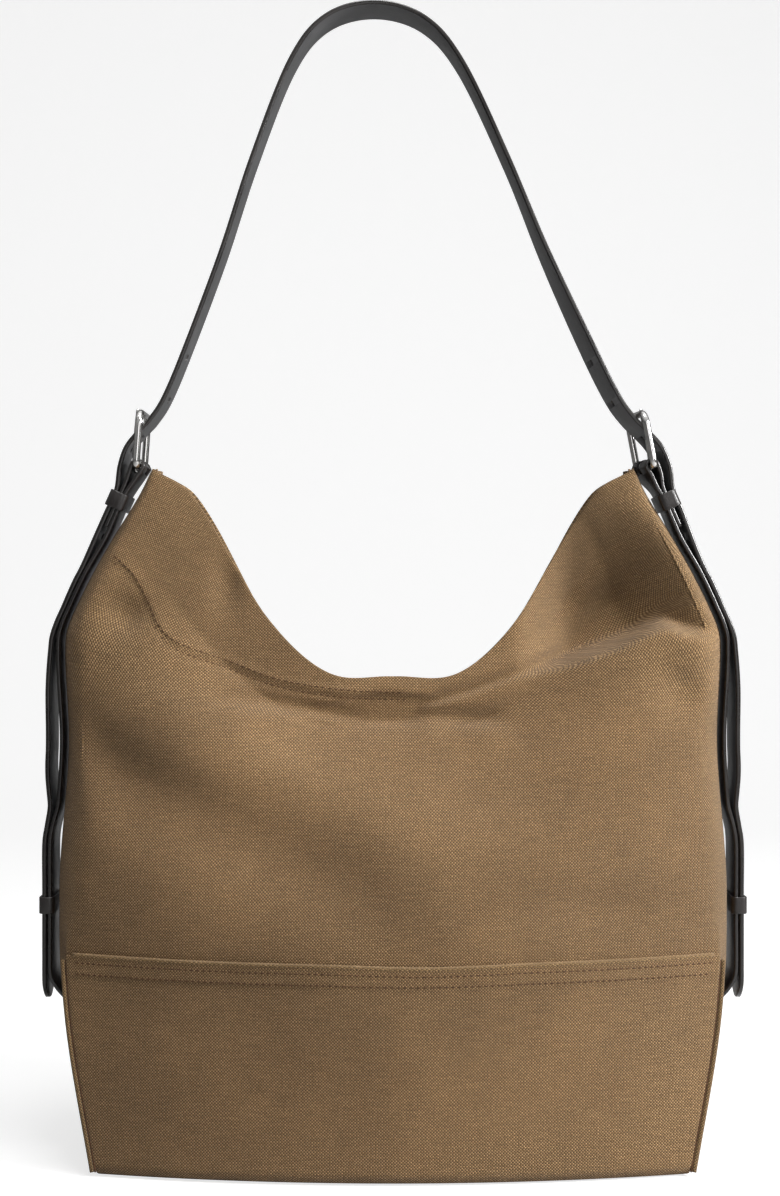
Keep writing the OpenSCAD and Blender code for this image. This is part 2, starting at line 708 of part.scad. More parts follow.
// Fold of the side strap round a buckle's bar, with a slot for the prong.
module buckle_loop(yaw) {
    hole_r = wire_r + bar_clearance;
    prong_room = 0.9;
    leg_l = 9;
    leg_t = 2 * chape_t;
    color(leather_color) translate([bar_x, 0, bar_z]) rotate([0, 0, yaw]) difference() {
        union() {
            rotate([90, 0, 0]) cylinder(r = hole_r + chape_t, h = strap_w, center = true);
            rotate([0, -keeper_tilt, 0])
                translate([-leg_t / 2, -strap_w / 2, -leg_l]) cube([leg_t, strap_w, leg_l]);
        }
        rotate([90, 0, 0]) cylinder(r = hole_r, h = strap_w + 2, center = true);
        rotate([90, 0, 0]) cylinder(r = prong_ring_r + prong_room, h = prong_w + 1.2, center = true);
    }
}
module right_buckle_loop() buckle_loop(right_yaw);
module left_buckle_loop() at_left() buckle_loop(0);

front_panel();
back_panel();
front_mouth_panel();
back_mouth_panel();
left_gusset();
right_gusset();
front_band();
back_band();
left_gusset_base();
right_gusset_base();
bottom_panel();
corner_piping();
base_board();
lining();
front_facing();
back_facing();
slip_pocket();
zip_pocket_bag();
zip_tape();
zip_teeth();
zip_slider();
zip_pull();
snap_stud();
snap_socket();
snap_stud_washer();
snap_socket_washer();
handle_strap();
left_strap_tail();
right_strap_tail();
left_side_strap();
right_side_strap();
left_buckle_loop();
right_buckle_loop();
left_buckle_frame();
right_buckle_frame();
left_buckle_prong();
right_buckle_prong();
left_upper_keeper();
right_upper_keeper();
left_lower_keeper();
right_lower_keeper();
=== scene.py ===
"""Looks of a slouchy canvas hobo bag with a buckled leather shoulder strap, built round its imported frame.

Sizes and places are in millimetres in the frame's own axes, and meshes are made in metres.
-Y is the front, +X is the right-hand side as the front is faced, and +Z is up.
"""

import json
import math

import bpy
import numpy as np
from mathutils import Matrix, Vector
from mathutils.bvhtree import BVHTree


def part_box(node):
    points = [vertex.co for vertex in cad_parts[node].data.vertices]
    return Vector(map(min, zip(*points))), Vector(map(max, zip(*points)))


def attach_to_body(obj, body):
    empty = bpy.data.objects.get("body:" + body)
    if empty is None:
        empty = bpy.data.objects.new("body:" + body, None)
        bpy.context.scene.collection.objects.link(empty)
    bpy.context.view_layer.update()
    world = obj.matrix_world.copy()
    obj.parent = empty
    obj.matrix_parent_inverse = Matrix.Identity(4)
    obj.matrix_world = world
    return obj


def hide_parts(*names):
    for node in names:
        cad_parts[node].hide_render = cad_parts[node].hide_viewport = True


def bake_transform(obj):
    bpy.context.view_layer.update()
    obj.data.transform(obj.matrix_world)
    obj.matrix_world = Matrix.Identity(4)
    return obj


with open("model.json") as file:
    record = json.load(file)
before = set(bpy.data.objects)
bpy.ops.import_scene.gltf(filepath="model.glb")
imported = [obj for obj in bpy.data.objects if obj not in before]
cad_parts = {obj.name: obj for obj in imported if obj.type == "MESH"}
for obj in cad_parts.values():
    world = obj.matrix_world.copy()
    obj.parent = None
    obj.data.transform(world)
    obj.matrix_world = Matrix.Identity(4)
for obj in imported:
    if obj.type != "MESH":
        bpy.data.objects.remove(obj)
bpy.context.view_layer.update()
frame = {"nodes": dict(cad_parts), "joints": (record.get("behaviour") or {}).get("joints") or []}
MM = 0.001


# Measures taken from the frame

def low(node):
    return np.array(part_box(node)[0]) / MM


def high(node):
    return np.array(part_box(node)[1]) / MM


def middle(node):
    return (low(node) + high(node)) / 2


def run_length(line):
    """Distance along a line at each of its points."""
    return np.concatenate([[0], np.cumsum(np.linalg.norm(np.diff(line, axis=0), axis=1))])


def unit(vectors):
    return vectors / np.linalg.norm(vectors, axis=1, keepdims=True)


def arc(x, y, radius, degrees):
    """Points [x, y] round a centre, at angles in degrees from +X."""
    return [[x + radius * math.cos(a), y + radius * math.sin(a)] for a in np.radians(degrees)]


PIVOTS = {joint["name"]: np.array(joint["pos_m"]) / MM for joint in frame["joints"] if "pos_m" in joint}

FOOT_Z = low("front_band")[2]  # lowest point of the upright canvas
BAND_H = high("front_band")[2]  # top edge of the lapped lower band
BASE_TOP = high("right_gusset_base")[2]  # top edge of the panels over the gussets' feet
PEAK_Z = round(high("front_panel")[2])  # top of the two canvas peaks
SNAP_Z = middle("snap_stud")[2]
LINING_FOOT = low("lining")[2]
LINING_TOP = high("lining")[2]
BAR = PIVOTS["right_buckle_tilt"]  # middle of the right buckle's bar
BAR_X, BAR_Z = BAR[0], BAR[2]
LOWER_KEEPER_Z = middle("right_lower_keeper")[2]
STRAP_W = high("handle_strap")[1] - low("handle_strap")[1]

MOUTH_Z = 270  # middle of the front mouth edge
BACK_MOUTH_Z = 266  # middle of the back mouth edge
PEAK_X = 131  # half-width across the peaks
BELLY_X = 190  # half-width at the widest place
BASE_X = 170  # half-width of the base
BASE_Y = 54  # half-depth of the base at its corners
BASE_MIDDLE_Y = 72  # half-depth of the base in the middle
BELT_Y = 38  # half-depth at the side seams at the top of the band
BELT_MIDDLE_Y = 76  # half-depth in the middle at the top of the band
MOUTH_Y = 14  # half-depth at the mouth
GUSSET_BULGE = 9  # how far a gusset stands out past its seams
LAP = 1.8  # how far a lapped layer stands proud
LIP_FOOT = 0.82  # share of the height where the front turns upright
FACING_FOOT = 0.78  # share of the height where the facings end
FACING_SPAN = 0.82  # share of the half-width that the facings cover
TUCK = 5.8  # depth of the side straps' ends under the canvas
FOOT_TUCK = 16  # how steeply the canvas' foot turns in behind the band
SHEET_FOOT = 0.4  # lowest point of the band and of the gussets' foot panels
EDGE_CURL = 9  # height over which those turn in under the bag
CANVAS_T = 1.5
LINING_T = 0.7
STRAP_T = 2.6
CHAPE_T = 2.2
APEX_Z = high("handle_strap")[2] - STRAP_T / 2


# Curves and surfaces

def ease(start, end, x):
    t = np.clip((np.asarray(x, float) - start) / (end - start), 0, 1)
    return t * t * (3 - 2 * t)


def smooth_at(pairs, x):
    """Cubic through [input, output] pairs, with each pair's slope taken from its neighbours."""
    p = np.array(pairs, float)
    x = np.asarray(x, float)
    before = np.maximum(np.arange(len(p)) - 1, 0)
    after = np.minimum(np.arange(len(p)) + 1, len(p) - 1)
    slope = (p[after, 1] - p[before, 1]) / (p[after, 0] - p[before, 0])
    i = np.clip(np.searchsorted(p[:, 0], x) - 1, 0, len(p) - 2)
    h = p[i + 1, 0] - p[i, 0]
    t = np.clip((x - p[i, 0]) / h, -0.2, 1.2)
    s = t * t * (3 - 2 * t)
    bend = h * t * (1 - t) * ((1 - t) * slope[i] - t * slope[i + 1])
    return p[i, 1] * (1 - s) + p[i + 1, 1] * s + bend


SIDE_OUTLINE = [
    [0, BASE_X], [84, BASE_X + 16], [150, BELLY_X], [230, BELLY_X - 5], [290, BELLY_X - 3],
    [306, BELLY_X - 8], [347, PEAK_X + 29], [374, PEAK_X + 8], [387, PEAK_X]]


def side_x(z):
    return smooth_at(SIDE_OUTLINE, z)


def seam_x(z):
    return side_x(z) - GUSSET_BULGE * (1 - np.clip((z - 230) / (PEAK_Z - 230), 0, 1) ** 2)


def seam_y(z):
    upper = MOUTH_Y + (BELT_Y - MOUTH_Y) * (1 - np.clip((z - BAND_H) / (PEAK_Z - BAND_H), 0, 1) ** 1.5)
    return np.where(z < BAND_H, BASE_Y + (BELT_Y - BASE_Y) * z / BAND_H, upper)


def mouth_edge(u, mid_z):
    edge = [[0, mid_z], [0.28, mid_z + 2], [0.54, mid_z + 33], [0.78, 356], [0.88, 375], [1, PEAK_Z]]
    return smooth_at(edge, np.abs(u))


def front_point(u, v, mid_z):
    """Front sheet at share u of its half-width and share v of its height above the band."""
    z_side = BAND_H + (PEAK_Z - BAND_H) * v
    edge = seam_y(z_side)
    rise = np.clip(v / LIP_FOOT, 0, 1)
    mid = MOUTH_Y + (BELT_MIDDLE_Y - MOUTH_Y) * (1 - rise ** 2.2)
    y = -edge - (mid - edge) * (1 - u * u) - FOOT_TUCK * np.minimum(v, 0)
    return np.stack([seam_x(z_side) * u, y, BAND_H + (mouth_edge(u, mid_z) - BAND_H) * v], -1)


def band_point(u, z):
    edge = seam_y(z)
    mid = BASE_MIDDLE_Y + (BELT_MIDDLE_Y - BASE_MIDDLE_Y) * z / BAND_H
    return np.stack([seam_x(z) * u, -edge - (mid - edge) * (1 - u * u) - LAP, z + 0 * u], -1)


def gusset_point(w, z, middle_x, proud=0.0):
    edge = seam_x(z) + proud
    return np.stack([edge + (middle_x - edge) * (1 - w * w), (seam_y(z) - LAP) * w, z + 0 * w], -1)


def gusset_middle(z):
    return side_x(z) - TUCK * (1 - ease(BASE_TOP + 2, BASE_TOP + 20, z))


# Folds of the front

def crease(x, z, line, height, above, below, fade=16):
    """Ridge along z = line(x), `height` proud, dying away over `above` and `below` it and past its ends."""
    start, end = line[0][0], line[-1][0]
    gap = z - smooth_at(line, np.clip(x, start, end))
    width = np.where(gap > 0, above, below)
    ends = ease(start - fade, start + fade, x) * (1 - ease(end - fade, end + fade, x))
    return height * ends * np.exp(-(gap / width) ** 2)


def dimple(x, z, at, size, depth):
    return -depth * np.exp(-((x - at[0]) / size[0]) ** 2 - ((z - at[1]) / size[1]) ** 2)


# Each fold is a line of [x, z] points.
LOW_FOLD = [[-95, 251], [-60, 247], [-18, 241], [24, 241], [60, 239]]
LONG_FOLD = [[14, 249], [38, 256], [81, 271], [124, 286], [150, 297], [164, 293], [186, 289]]
LIP_FOLD = [[-40, 255], [-21, 260], [-6, 263], [20, 262], [60, 274], [95, 286]]
VALLEY = [[-170, 232], [-148, 213], [-111, 195], [-86, 183], [-43, 164], [0, 152]]
FACING_SEAM = [[-157, 334], [-145, 322], [-138, 309], [-132, 296], [-121, 285], [-92, 274], [-65, 264],
               [-29, 258], [22, 256]]
RIM = [[285, 190], [300, 178], [330, 166], [355, 153], [376, 139], [PEAK_Z, 131]]  # [z, x]
HOLLOW_DEPTH = 26


def right_hollow(x, z):
    """The right peak caves in between the mouth edge, the long fold and the canvas turned along its edge."""
    rim_x = smooth_at(RIM, z)
    from_rim = np.clip((rim_x - x) / 44, 0, 1) * 0.75 + 0.25 * ease(-2, 34, rim_x - x)
    fold_z = smooth_at(LONG_FOLD, np.clip(x, LONG_FOLD[0][0], LONG_FOLD[-1][0]))
    over_fold = ease(-2, 6, z - fold_z)
    inner = ease(66, 104, x)
    rise = np.clip((PEAK_Z - z) / 75, 0.1, 1)
    return -HOLLOW_DEPTH * from_rim * over_fold * inner * rise


def clear_of_snap(x, z, d):
    """Keeps inward folds off the magnetic snap, which lies close behind the canvas."""
    near = np.exp(-(x / 26) ** 4 - ((z - SNAP_Z) / 17) ** 4)
    return np.where(d < 0, d * (1 - near), d)


def shifted(line, dx, dz, scale=1.0):
    return [[x * scale + dx, z + dz] for x, z in line]


def front_folds(x, z):
    """How far the front canvas stands proud of its smooth form, in millimetres."""
    d = crease(x, z, LOW_FOLD, 4.2, 4, 15)
    d += crease(x, z, shifted(LOW_FOLD, 0, 7), -2.6, 5, 5)
    d += crease(x, z, LONG_FOLD, 6.0, 3.5, 20, 10)
    d += crease(x, z, LIP_FOLD, 3.2, 8, 3.5)
    d += crease(x, z, VALLEY, -8.0, 26, 26, 30)
    d += crease(x, z, shifted(VALLEY[1:], 0, 44, 0.9), 4.0, 16, 26, 30)
    d += crease(x, z, FACING_SEAM, -0.9, 1.8, 1.8, 8)
    d += crease(x, z, shifted(FACING_SEAM, 2, 3.5), 0.7, 2, 2, 8)
    d += right_hollow(x, z)
    for at, size, depth in (
            ((-150, 305), (13, 11), 7), ((-94, 322), (9, 16), 4.5), ((112, 146), (34, 12), 4),
            ((160, 262), (14, 12), 4), ((-30, 222), (70, 16), -3), ((60, 205), (60, 22), 3.5)):
        d += dimple(x, z, at, size, depth)
    return clear_of_snap(x, z, d)


def back_folds(x, z):
    """The same for the back, seen from behind."""
    d = crease(x, z, [[-120, 262], [-60, 247], [0, 240], [60, 244]], 2.4, 6, 14)
    d += crease(x, z, [[0, 252], [60, 264], [110, 280]], 2.4, 5, 12)
    d += crease(x, z, [[60, 196], [105, 212], [150, 236]], -3.6, 22, 22, 30)
    dimples = (((150, 305), (14, 14), 4), ((-148, 300), (15, 14), 4), ((-60, 150), (50, 16), 2.5))
    for at, size, depth in dimples:
        d += dimple(x, z, at, size, depth)
    return clear_of_snap(x, z, d)


PEAK_GRAIN = 0.42  # slope that the weave's rows take on in the peaks
BELT_TURN = 245  # height above which the weave starts to turn


# Mesh building

def add_object(name, points, faces, uvs=None, materials=(), face_material=None):
    mesh = bpy.data.meshes.new(name)
    mesh.from_pydata((np.asarray(points) * MM).tolist(), [], [list(map(int, face)) for face in faces])
    for material in materials:
        mesh.materials.append(material)
    if uvs is not None:
        corner = np.zeros(len(mesh.loops), np.int32)
        mesh.loops.foreach_get("vertex_index", corner)
        layer = mesh.uv_layers.new(name="UVMap")
        layer.data.foreach_set("uv", np.asarray(uvs, np.float32)[corner].ravel())
    if face_material is not None:
        mesh.polygons.foreach_set("material_index", np.asarray(face_material, np.int32))
    mesh.polygons.foreach_set("use_smooth", np.ones(len(mesh.polygons), bool))
    mesh.validate()
    obj = bpy.data.objects.new(name, mesh)
    bpy.context.scene.collection.objects.link(obj)
    return obj


def grid_faces(rows, cols, wrap=False, flip=False, ring=False):
    """Quads of a grid: `wrap` joins each row's ends, and `ring` joins the last row to the first."""
    row_steps = np.arange(rows if ring else rows - 1)
    col_steps = np.arange(cols if wrap else cols - 1)
    j, i = np.meshgrid(row_steps, col_steps, indexing="ij")
    k, up = (i + 1) % cols, (j + 1) % rows
    quads = np.stack([j * cols + i, j * cols + k, up * cols + k, up * cols + i], -1).reshape(-1, 4)
    return quads[:, ::-1] if flip else quads


def bar_faces(rows, cols):
    """Faces of a bar with both ends closed."""
    ends = [list(range(cols))[::-1], list(range((rows - 1) * cols, rows * cols))]
    return grid_faces(rows, cols, wrap=True).tolist() + ends


def weave_uv(points):
    """Weave coordinates in millimetres: level low down, and turned with the leaning peaks higher up."""
    x, z = points[..., 0], points[..., 2]
    step = np.linalg.norm(np.diff(points[:, :, :2], axis=1), axis=2)
    around = np.concatenate([np.zeros((len(points), 1)), np.cumsum(step, 1)], 1)
    around -= around[:, around.shape[1] // 2][:, None]
    lean = PEAK_GRAIN * ease(BELT_TURN, BELT_TURN + 95, z) * ease(55, 135, np.abs(x))
    u = around + np.sign(x) * lean * (z - 300)
    return np.stack([u, z - lean * (np.abs(x) - 110)], -1).reshape(-1, 2)


def thicken(obj, thickness):
    """Gives a sheet its thickness, laid inwards from its points."""
    solid = obj.modifiers.new("thickness", "SOLIDIFY")
    solid.thickness = thickness * MM
    solid.offset = -1


def sheet_object(name, points, material, thickness, flip=False, levels=1):
    """Grid of points as a closed cloth sheet."""
    faces = grid_faces(*points.shape[:2], flip=flip)
    obj = add_object(name, points.reshape(-1, 3), faces, weave_uv(points), [material])
    thicken(obj, thickness)
    if levels:
        smooth = obj.modifiers.new("smooth", "SUBSURF")
        smooth.levels = smooth.render_levels = levels
    return obj


def outward(points):
    """Unit normals of a grid whose rows run towards +X across the front, pointing away from the bag."""
    across = np.gradient(points, axis=1)
    up = np.gradient(points, axis=0)
    n = np.cross(across, up)
    return n / np.maximum(np.linalg.norm(n, axis=2, keepdims=True), 1e-9)


def turned(points):
    """A front piece's points, turned to the back."""
    return points * np.array([-1, -1, 1])


def attach(obj, slot, body, *nodes):
    """Hides the CAD nodes that a piece stands for and hangs it on its body, if it has one; `slot` is not
    used. A piece with no body stays unparented.
    """
    if nodes:
        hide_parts(*nodes)
    if body:
        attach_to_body(obj, body)


def mirrored_sheets(points, part, node):
    """Canvas sheet on the right-hand side, and its mirror on the left."""
    for side, sign in (("right", 1), ("left", -1)):
        placed = points * np.array([sign, 1, 1])
        obj = sheet_object(f"{side}_{part}", placed, CANVAS, CANVAS_T, flip=sign < 0)
        attach(obj, "canvas", "bag_body", f"{side}_{node}")


def curve_points(points, step):
    """Catmull-Rom curve through the points, resampled every `step` mm."""
    p = np.asarray(points, float)
    p = np.vstack([2 * p[0] - p[1], p, 2 * p[-1] - p[-2]])
    t = np.linspace(0, 1, 24, endpoint=False)[:, None]
    parts = []
    for a, b, c, d in zip(p[:-3], p[1:-2], p[2:-1], p[3:]):
        parts.append(0.5 * (2 * b + (c - a) * t + (2 * a - 5 * b + 4 * c - d) * t ** 2
                            + (3 * b - a - 3 * c + d) * t ** 3))
    line = np.vstack(parts + [p[-2:-1]])
    return resample(line, step)


def sample(line, length, at):
    """Values of the line's columns at distances `at` along it."""
    return np.stack([np.interp(at, length, column) for column in line.T], -1)


def resample(line, step):
    length = run_length(line)
    count = max(2, int(round(length[-1] / step)) + 1)
    return sample(line, length, np.linspace(0, length[-1], count))


def tube(name, line, radius, material, sides=16, closed=False):
    """Round bar along a line of points."""
    line = np.asarray(line, float)
    ahead = unit(np.roll(line, -1, 0) - np.roll(line, 1, 0) if closed else np.gradient(line, axis=0))
    reach = np.ptp(line, axis=0)
    upright = reach[2] > max(reach[0], reach[1])
    side = unit(np.cross(ahead, [0.985, 0.174, 0.02] if upright else [0.137, 0.291, 0.947]))
    other = np.cross(ahead, side)
    angle = np.linspace(0, 2 * math.pi, sides, endpoint=False)
    r = np.broadcast_to(np.asarray(radius, float), (len(line),))[:, None, None]
    c, s = np.cos(angle)[:, None], np.sin(angle)[:, None]
    rings = line[:, None] + r * (side[:, None] * c + other[:, None] * s)
    n = len(line)
    faces = grid_faces(n, sides, wrap=True, ring=True) if closed else bar_faces(n, sides)
    uv = np.stack(np.meshgrid(angle * float(np.mean(radius)), np.arange(n) * 2.0), -1).reshape(-1, 2)
    return add_object(name, rings.reshape(-1, 3), faces, uv, [material])


def rounded_profile(width, thickness, corner):
    """Anticlockwise outline of a rounded bar's section: [across, out] points, the outer face first."""
    w, t = width / 2 - corner, thickness / 2 - corner
    outline = []
    for x, y, start in ((w, t, 0), (-w, t, 90), (-w, -t, 180), (w, -t, 270)):
        outline += arc(x, y, corner, range(start, start + 91, 30))
    return np.array(outline)


def strap_object(name, line, across, profile, materials, width_at=None):
    """Leather strap along a centre line: `across` is its width direction at each point.

    materials are the outer face's, the inner face's and the edges'."""
    ahead = unit(np.gradient(line, axis=0))
    across = unit(across - np.sum(across * ahead, 1, keepdims=True) * ahead)
    out = np.cross(ahead, across)
    n, m = len(line), len(profile)
    scale = np.ones(n) if width_at is None else width_at
    rings = (line[:, None] + across[:, None] * profile[None, :, :1] * scale[:, None, None]
             + out[:, None] * profile[None, :, 1:])
    faces = bar_faces(n, m)
    kinds = [{3: 0, 11: 1}.get(face[0] % m, 2) for face in faces[:-2]] + [2, 2]
    uv = np.stack(np.meshgrid(profile[:, 0], run_length(line)), -1).reshape(-1, 2)
    return add_object(name, rings.reshape(-1, 3), faces, uv, materials, kinds)


def cut(obj, cutters):
    """Cuts the cutters out of obj for good and removes them."""
    bpy.context.view_layer.update()
    for cutter in cutters:
        m = obj.modifiers.new("cut", "BOOLEAN")
        m.operation = "DIFFERENCE"
        m.solver = "EXACT"
        m.object = cutter
    mesh = bpy.data.meshes.new_from_object(obj.evaluated_get(bpy.context.evaluated_depsgraph_get()))
    obj.modifiers.clear()
    obj.data = mesh
    for cutter in cutters:
        bpy.data.objects.remove(cutter)


STITCH = 2.7  # length of a stitch
STITCH_GAP = 0.9
STITCH_SINK = 0.1  # how deep a stitch lies in the canvas


def stitch_rows(name, runs, radius=0.36):
    """Rows of thread stitches: each run is a line of points with the surface's normals, [points, normals]."""
    verts, faces = [], []
    sides = 6
    ring = np.linspace(0, 2 * math.pi, sides, endpoint=False)[:, None]
    swell = np.array([0.35, 0.95, 1.0, 0.95, 0.35]) * radius
    lift = np.array([-0.5, 0.3, 0.55, 0.3, -0.5]) * radius - STITCH_SINK
    shape = bar_faces(len(swell), sides)
    for points, normals in runs:
        size = run_length(points)
        for start in np.arange(STITCH_GAP, size[-1] - STITCH, STITCH + STITCH_GAP):
            at = np.linspace(start, start + STITCH, len(swell))
            c = sample(points, size, at)
            n = unit(sample(normals, size, at))
            b = np.cross(n, (c[-1] - c[0]) / np.linalg.norm(c[-1] - c[0]))
            faces += [[len(verts) + i for i in face] for face in shape]
            for k, r in enumerate(swell):
                verts += list(c[k] + n[k] * (lift[k] + r * np.sin(ring)) + b[k] * r * np.cos(ring))
    return add_object(name, verts, faces, None, [THREAD])


# Materials

class Nodes:
    """Short ways to add shader nodes to a new material, or to a new world."""

    def __init__(self, name, world=False):
        self.owner = (bpy.data.worlds if world else bpy.data.materials).new(name)
        self.owner.use_nodes = True
        self.tree = self.owner.node_tree
        self.shader = self.tree.nodes["Background" if world else "Principled BSDF"]

    def put(self, socket, value):
        if isinstance(value, bpy.types.NodeSocket):
            self.tree.links.new(value, socket)
        else:
            socket.default_value = value

    def node(self, kind, out=0, **inputs):
        n = self.tree.nodes.new(kind)
        for key, value in inputs.items():
            if hasattr(n, key):
                setattr(n, key, value)
            else:
                self.put(n.inputs[key.replace("_", " ")], value)
        return n.outputs[out]

    def math(self, operation, a, b=0.0):
        n = self.tree.nodes.new("ShaderNodeMath")
        n.operation = operation
        self.put(n.inputs[0], a)
        self.put(n.inputs[1], b)
        return n.outputs[0]

    def place(self, scale=(1, 1, 1), source="Object"):
        return self.node("ShaderNodeMapping", Vector=self.node("ShaderNodeTexCoord", out=source), Scale=scale)

    def noise(self, vector, scale=1.0, detail=3.0, roughness=0.55):
        return self.node("ShaderNodeTexNoise", Vector=vector, Scale=scale, Detail=detail, Roughness=roughness)

    def spread(self, value, low_in, high_in, low_out=0.0, high_out=1.0):
        n = self.tree.nodes.new("ShaderNodeMapRange")
        n.interpolation_type = "SMOOTHSTEP"
        for socket, v in zip(n.inputs[:5], (value, low_in, high_in, low_out, high_out)):
            self.put(socket, v)
        return n.outputs[0]

    def mix(self, share, a, b, blend="MIX"):
        n = self.tree.nodes.new("ShaderNodeMix")
        n.data_type = "RGBA"
        n.blend_type = blend
        self.put(n.inputs[0], share)
        self.put(n.inputs[6], a)
        self.put(n.inputs[7], b)
        return n.outputs[2]

    def bump(self, height, distance, strength=1.0):
        n = self.node("ShaderNodeBump", Height=height, Distance=distance * MM, Strength=strength)
        self.put(self.shader.inputs["Normal"], n)

    def finish(self, **inputs):
        for key, value in inputs.items():
            self.put(self.shader.inputs[key.replace("_", " ")], value)
        return self.owner


def tone(r, g, b):
    """Shader colour from a display colour of 11 to 255."""
    return tuple(((c / 255 + 0.055) / 1.055) ** 2.4 for c in (r, g, b)) + (1,)


def woven(name, light, mid, dark, pitch, relief, roughness=0.92):
    """Plain weave: warp and weft cross every `pitch` mm, with uneven yarns and a washed, mottled colour. The
    yarns' tops are coloured towards `light` as a painted highlight, and the hollows between them towards
    `dark` as painted shade.
    """
    n = Nodes(name)

    def threads(x_scale, y_scale, detail=1):
        return n.noise(n.place((x_scale, y_scale, 1), "UV"), 1.0, detail)

    wobble = n.math("MULTIPLY", threads(0.11, 0.11, 2), 0.9)
    waves = []
    for axis in "XY":
        along = n.node("ShaderNodeSeparateXYZ", out=axis, Vector=n.node("ShaderNodeTexCoord", out="UV"))
        waves.append(n.math("SINE", n.math("MULTIPLY", n.math("ADD", along, wobble), math.pi / pitch)))
    over = n.math("MULTIPLY", *waves)
    yarn_x = threads(1.1 / pitch, 0.06)
    yarn_y = threads(0.06, 1.1 / pitch)
    fleck = threads(0.9, 0.9)
    # Painted highlight on the tops of the crossing yarns and painted shade in the hollows between them,
    # besides the bump below.
    top = n.spread(over, -0.1, 0.75)
    uneven = n.spread(fleck, 0.36, 0.66)
    highlight = n.math("MULTIPLY", top, n.math("ADD", n.math("MULTIPLY", uneven, 0.75), 0.2))
    painted_hollow_shade = n.spread(over, -0.9, 0.1)
    base = n.mix(painted_hollow_shade, dark, mid)
    base = n.mix(highlight, base, light)
    slubs = n.math("ADD", n.spread(yarn_y, 0.3, 0.7, 0.9, 1.1), n.spread(yarn_x, 0.3, 0.7, -0.05, 0.05))
    washed = n.noise(n.place((9, 9, 9)), 1.0, 4, 0.6)
    patch = n.spread(washed, 0.32, 0.7, 0.84, 1.13)
    grey = n.math("MULTIPLY", slubs, patch)
    tint = n.node("ShaderNodeCombineColor", Red=grey, Green=grey, Blue=grey)
    color = n.mix(1.0, base, tint, "MULTIPLY")
    height = n.math("ADD", n.math("ABSOLUTE", over), n.math("MULTIPLY", threads(3.1, 3.1, 2), 0.5))
    n.bump(height, relief)
    return n.finish(Base_Color=color, Roughness=roughness, Specular_IOR_Level=0.15,
                    Sheen_Weight=0.12, Sheen_Roughness=0.6)


def leather(name, color, worn, roughness, grain, coat=0.0):
    n = Nodes(name)
    pebble = n.node("ShaderNodeTexVoronoi", Vector=n.place(), Scale=900.0)
    pores = n.noise(n.place(), 2600.0, 2)
    clouds = n.noise(n.place(), 38.0, 3)
    shade = n.mix(n.spread(clouds, 0.3, 0.75), color, worn)
    height = n.math("ADD", pebble, n.math("MULTIPLY", pores, 0.4))
    n.bump(height, grain)
    rough = n.spread(clouds, 0.3, 0.7, roughness - 0.05, roughness + 0.08)
    return n.finish(Base_Color=shade, Roughness=rough, Specular_IOR_Level=0.5, Coat_Weight=coat,
                    Coat_Roughness=0.2)


def metal(name, color, roughness):
    n = Nodes(name)
    smear = n.noise(n.place(), 160.0, 4)
    scratch = n.noise(n.place((30, 30, 900)), 4.0, 2)
    rough = n.spread(smear, 0.3, 0.7, roughness * 0.7, roughness * 1.5)
    n.bump(scratch, 0.02, 0.4)
    dull = tuple(c * 0.86 for c in color[:3]) + (1,)
    shade = n.mix(n.spread(smear, 0.35, 0.7), color, dull)
    return n.finish(Base_Color=shade, Metallic=1.0, Roughness=rough)


def yarn(name, color):
    n = Nodes(name)
    twist = n.node("ShaderNodeTexWave", Vector=n.place(), Scale=900.0, Distortion=2.0)
    pale = tuple(c * 1.5 for c in color[:3]) + (1,)
    shade = n.mix(n.spread(n.noise(n.place(), 300.0), 0.3, 0.7), color, pale)
    n.bump(twist, 0.1)
    return n.finish(Base_Color=shade, Roughness=0.7, Specular_IOR_Level=0.25)


# Weave colours: painted highlight on the yarns' tops, the yarns' own tone, and painted shade in the hollows
# between them.
CANVAS = woven("canvas", tone(192, 158, 114), tone(126, 98, 64), tone(68, 49, 30), 0.85, 0.38)
HEM = woven("canvas_hem", tone(204, 170, 124), tone(142, 113, 75), tone(88, 66, 42), 0.85, 0.30)
CORD = woven("canvas_cord", tone(166, 136, 96), tone(110, 86, 54), tone(62, 46, 28), 0.85, 0.30)
TWILL = woven("lining_twill", tone(150, 135, 112), tone(124, 110, 90), tone(96, 84, 68), 0.5, 0.12, 0.8)
TAPE = woven("zip_tape_weave", tone(64, 56, 48), tone(46, 40, 34), tone(30, 26, 22), 0.45, 0.14, 0.7)
LEATHER = leather("leather_face", tone(26, 22, 21), tone(36, 31, 29), 0.38, 0.10, 0.2)
LEATHER_BACK = leather("leather_inner_face", tone(62, 62, 63), tone(76, 76, 77), 0.42, 0.07, 0.15)
EDGE_PAINT = leather("leather_edge", tone(20, 17, 16), tone(30, 26, 24), 0.24, 0.03, 0.35)
NICKEL = metal("polished_nickel", (0.80, 0.79, 0.77, 1), 0.10)
BRUSHED = metal("brushed_nickel", (0.62, 0.61, 0.59, 1), 0.32)
THREAD = yarn("dark_thread", tone(74, 50, 32))
BOARD = leather("grey_board", tone(92, 88, 82), tone(104, 100, 94), 0.85, 0.2)


# Canvas

FRONT_COLS = 150
SIDE_COLS = 14
ROWS = 112
PEAK_DRAW = 5  # how far the outer side of each peak is drawn towards its buckle
SIDE_BLUR = 3.2  # how widely the side seams are rounded, in grid columns
CLOTH_FRAMES = 14
CLOTH_REACH = 3.0  # furthest that the cloth simulation may move a point
SEAM_W = 0.6  # where the front and back canvas end on the gussets, as a share of their depth


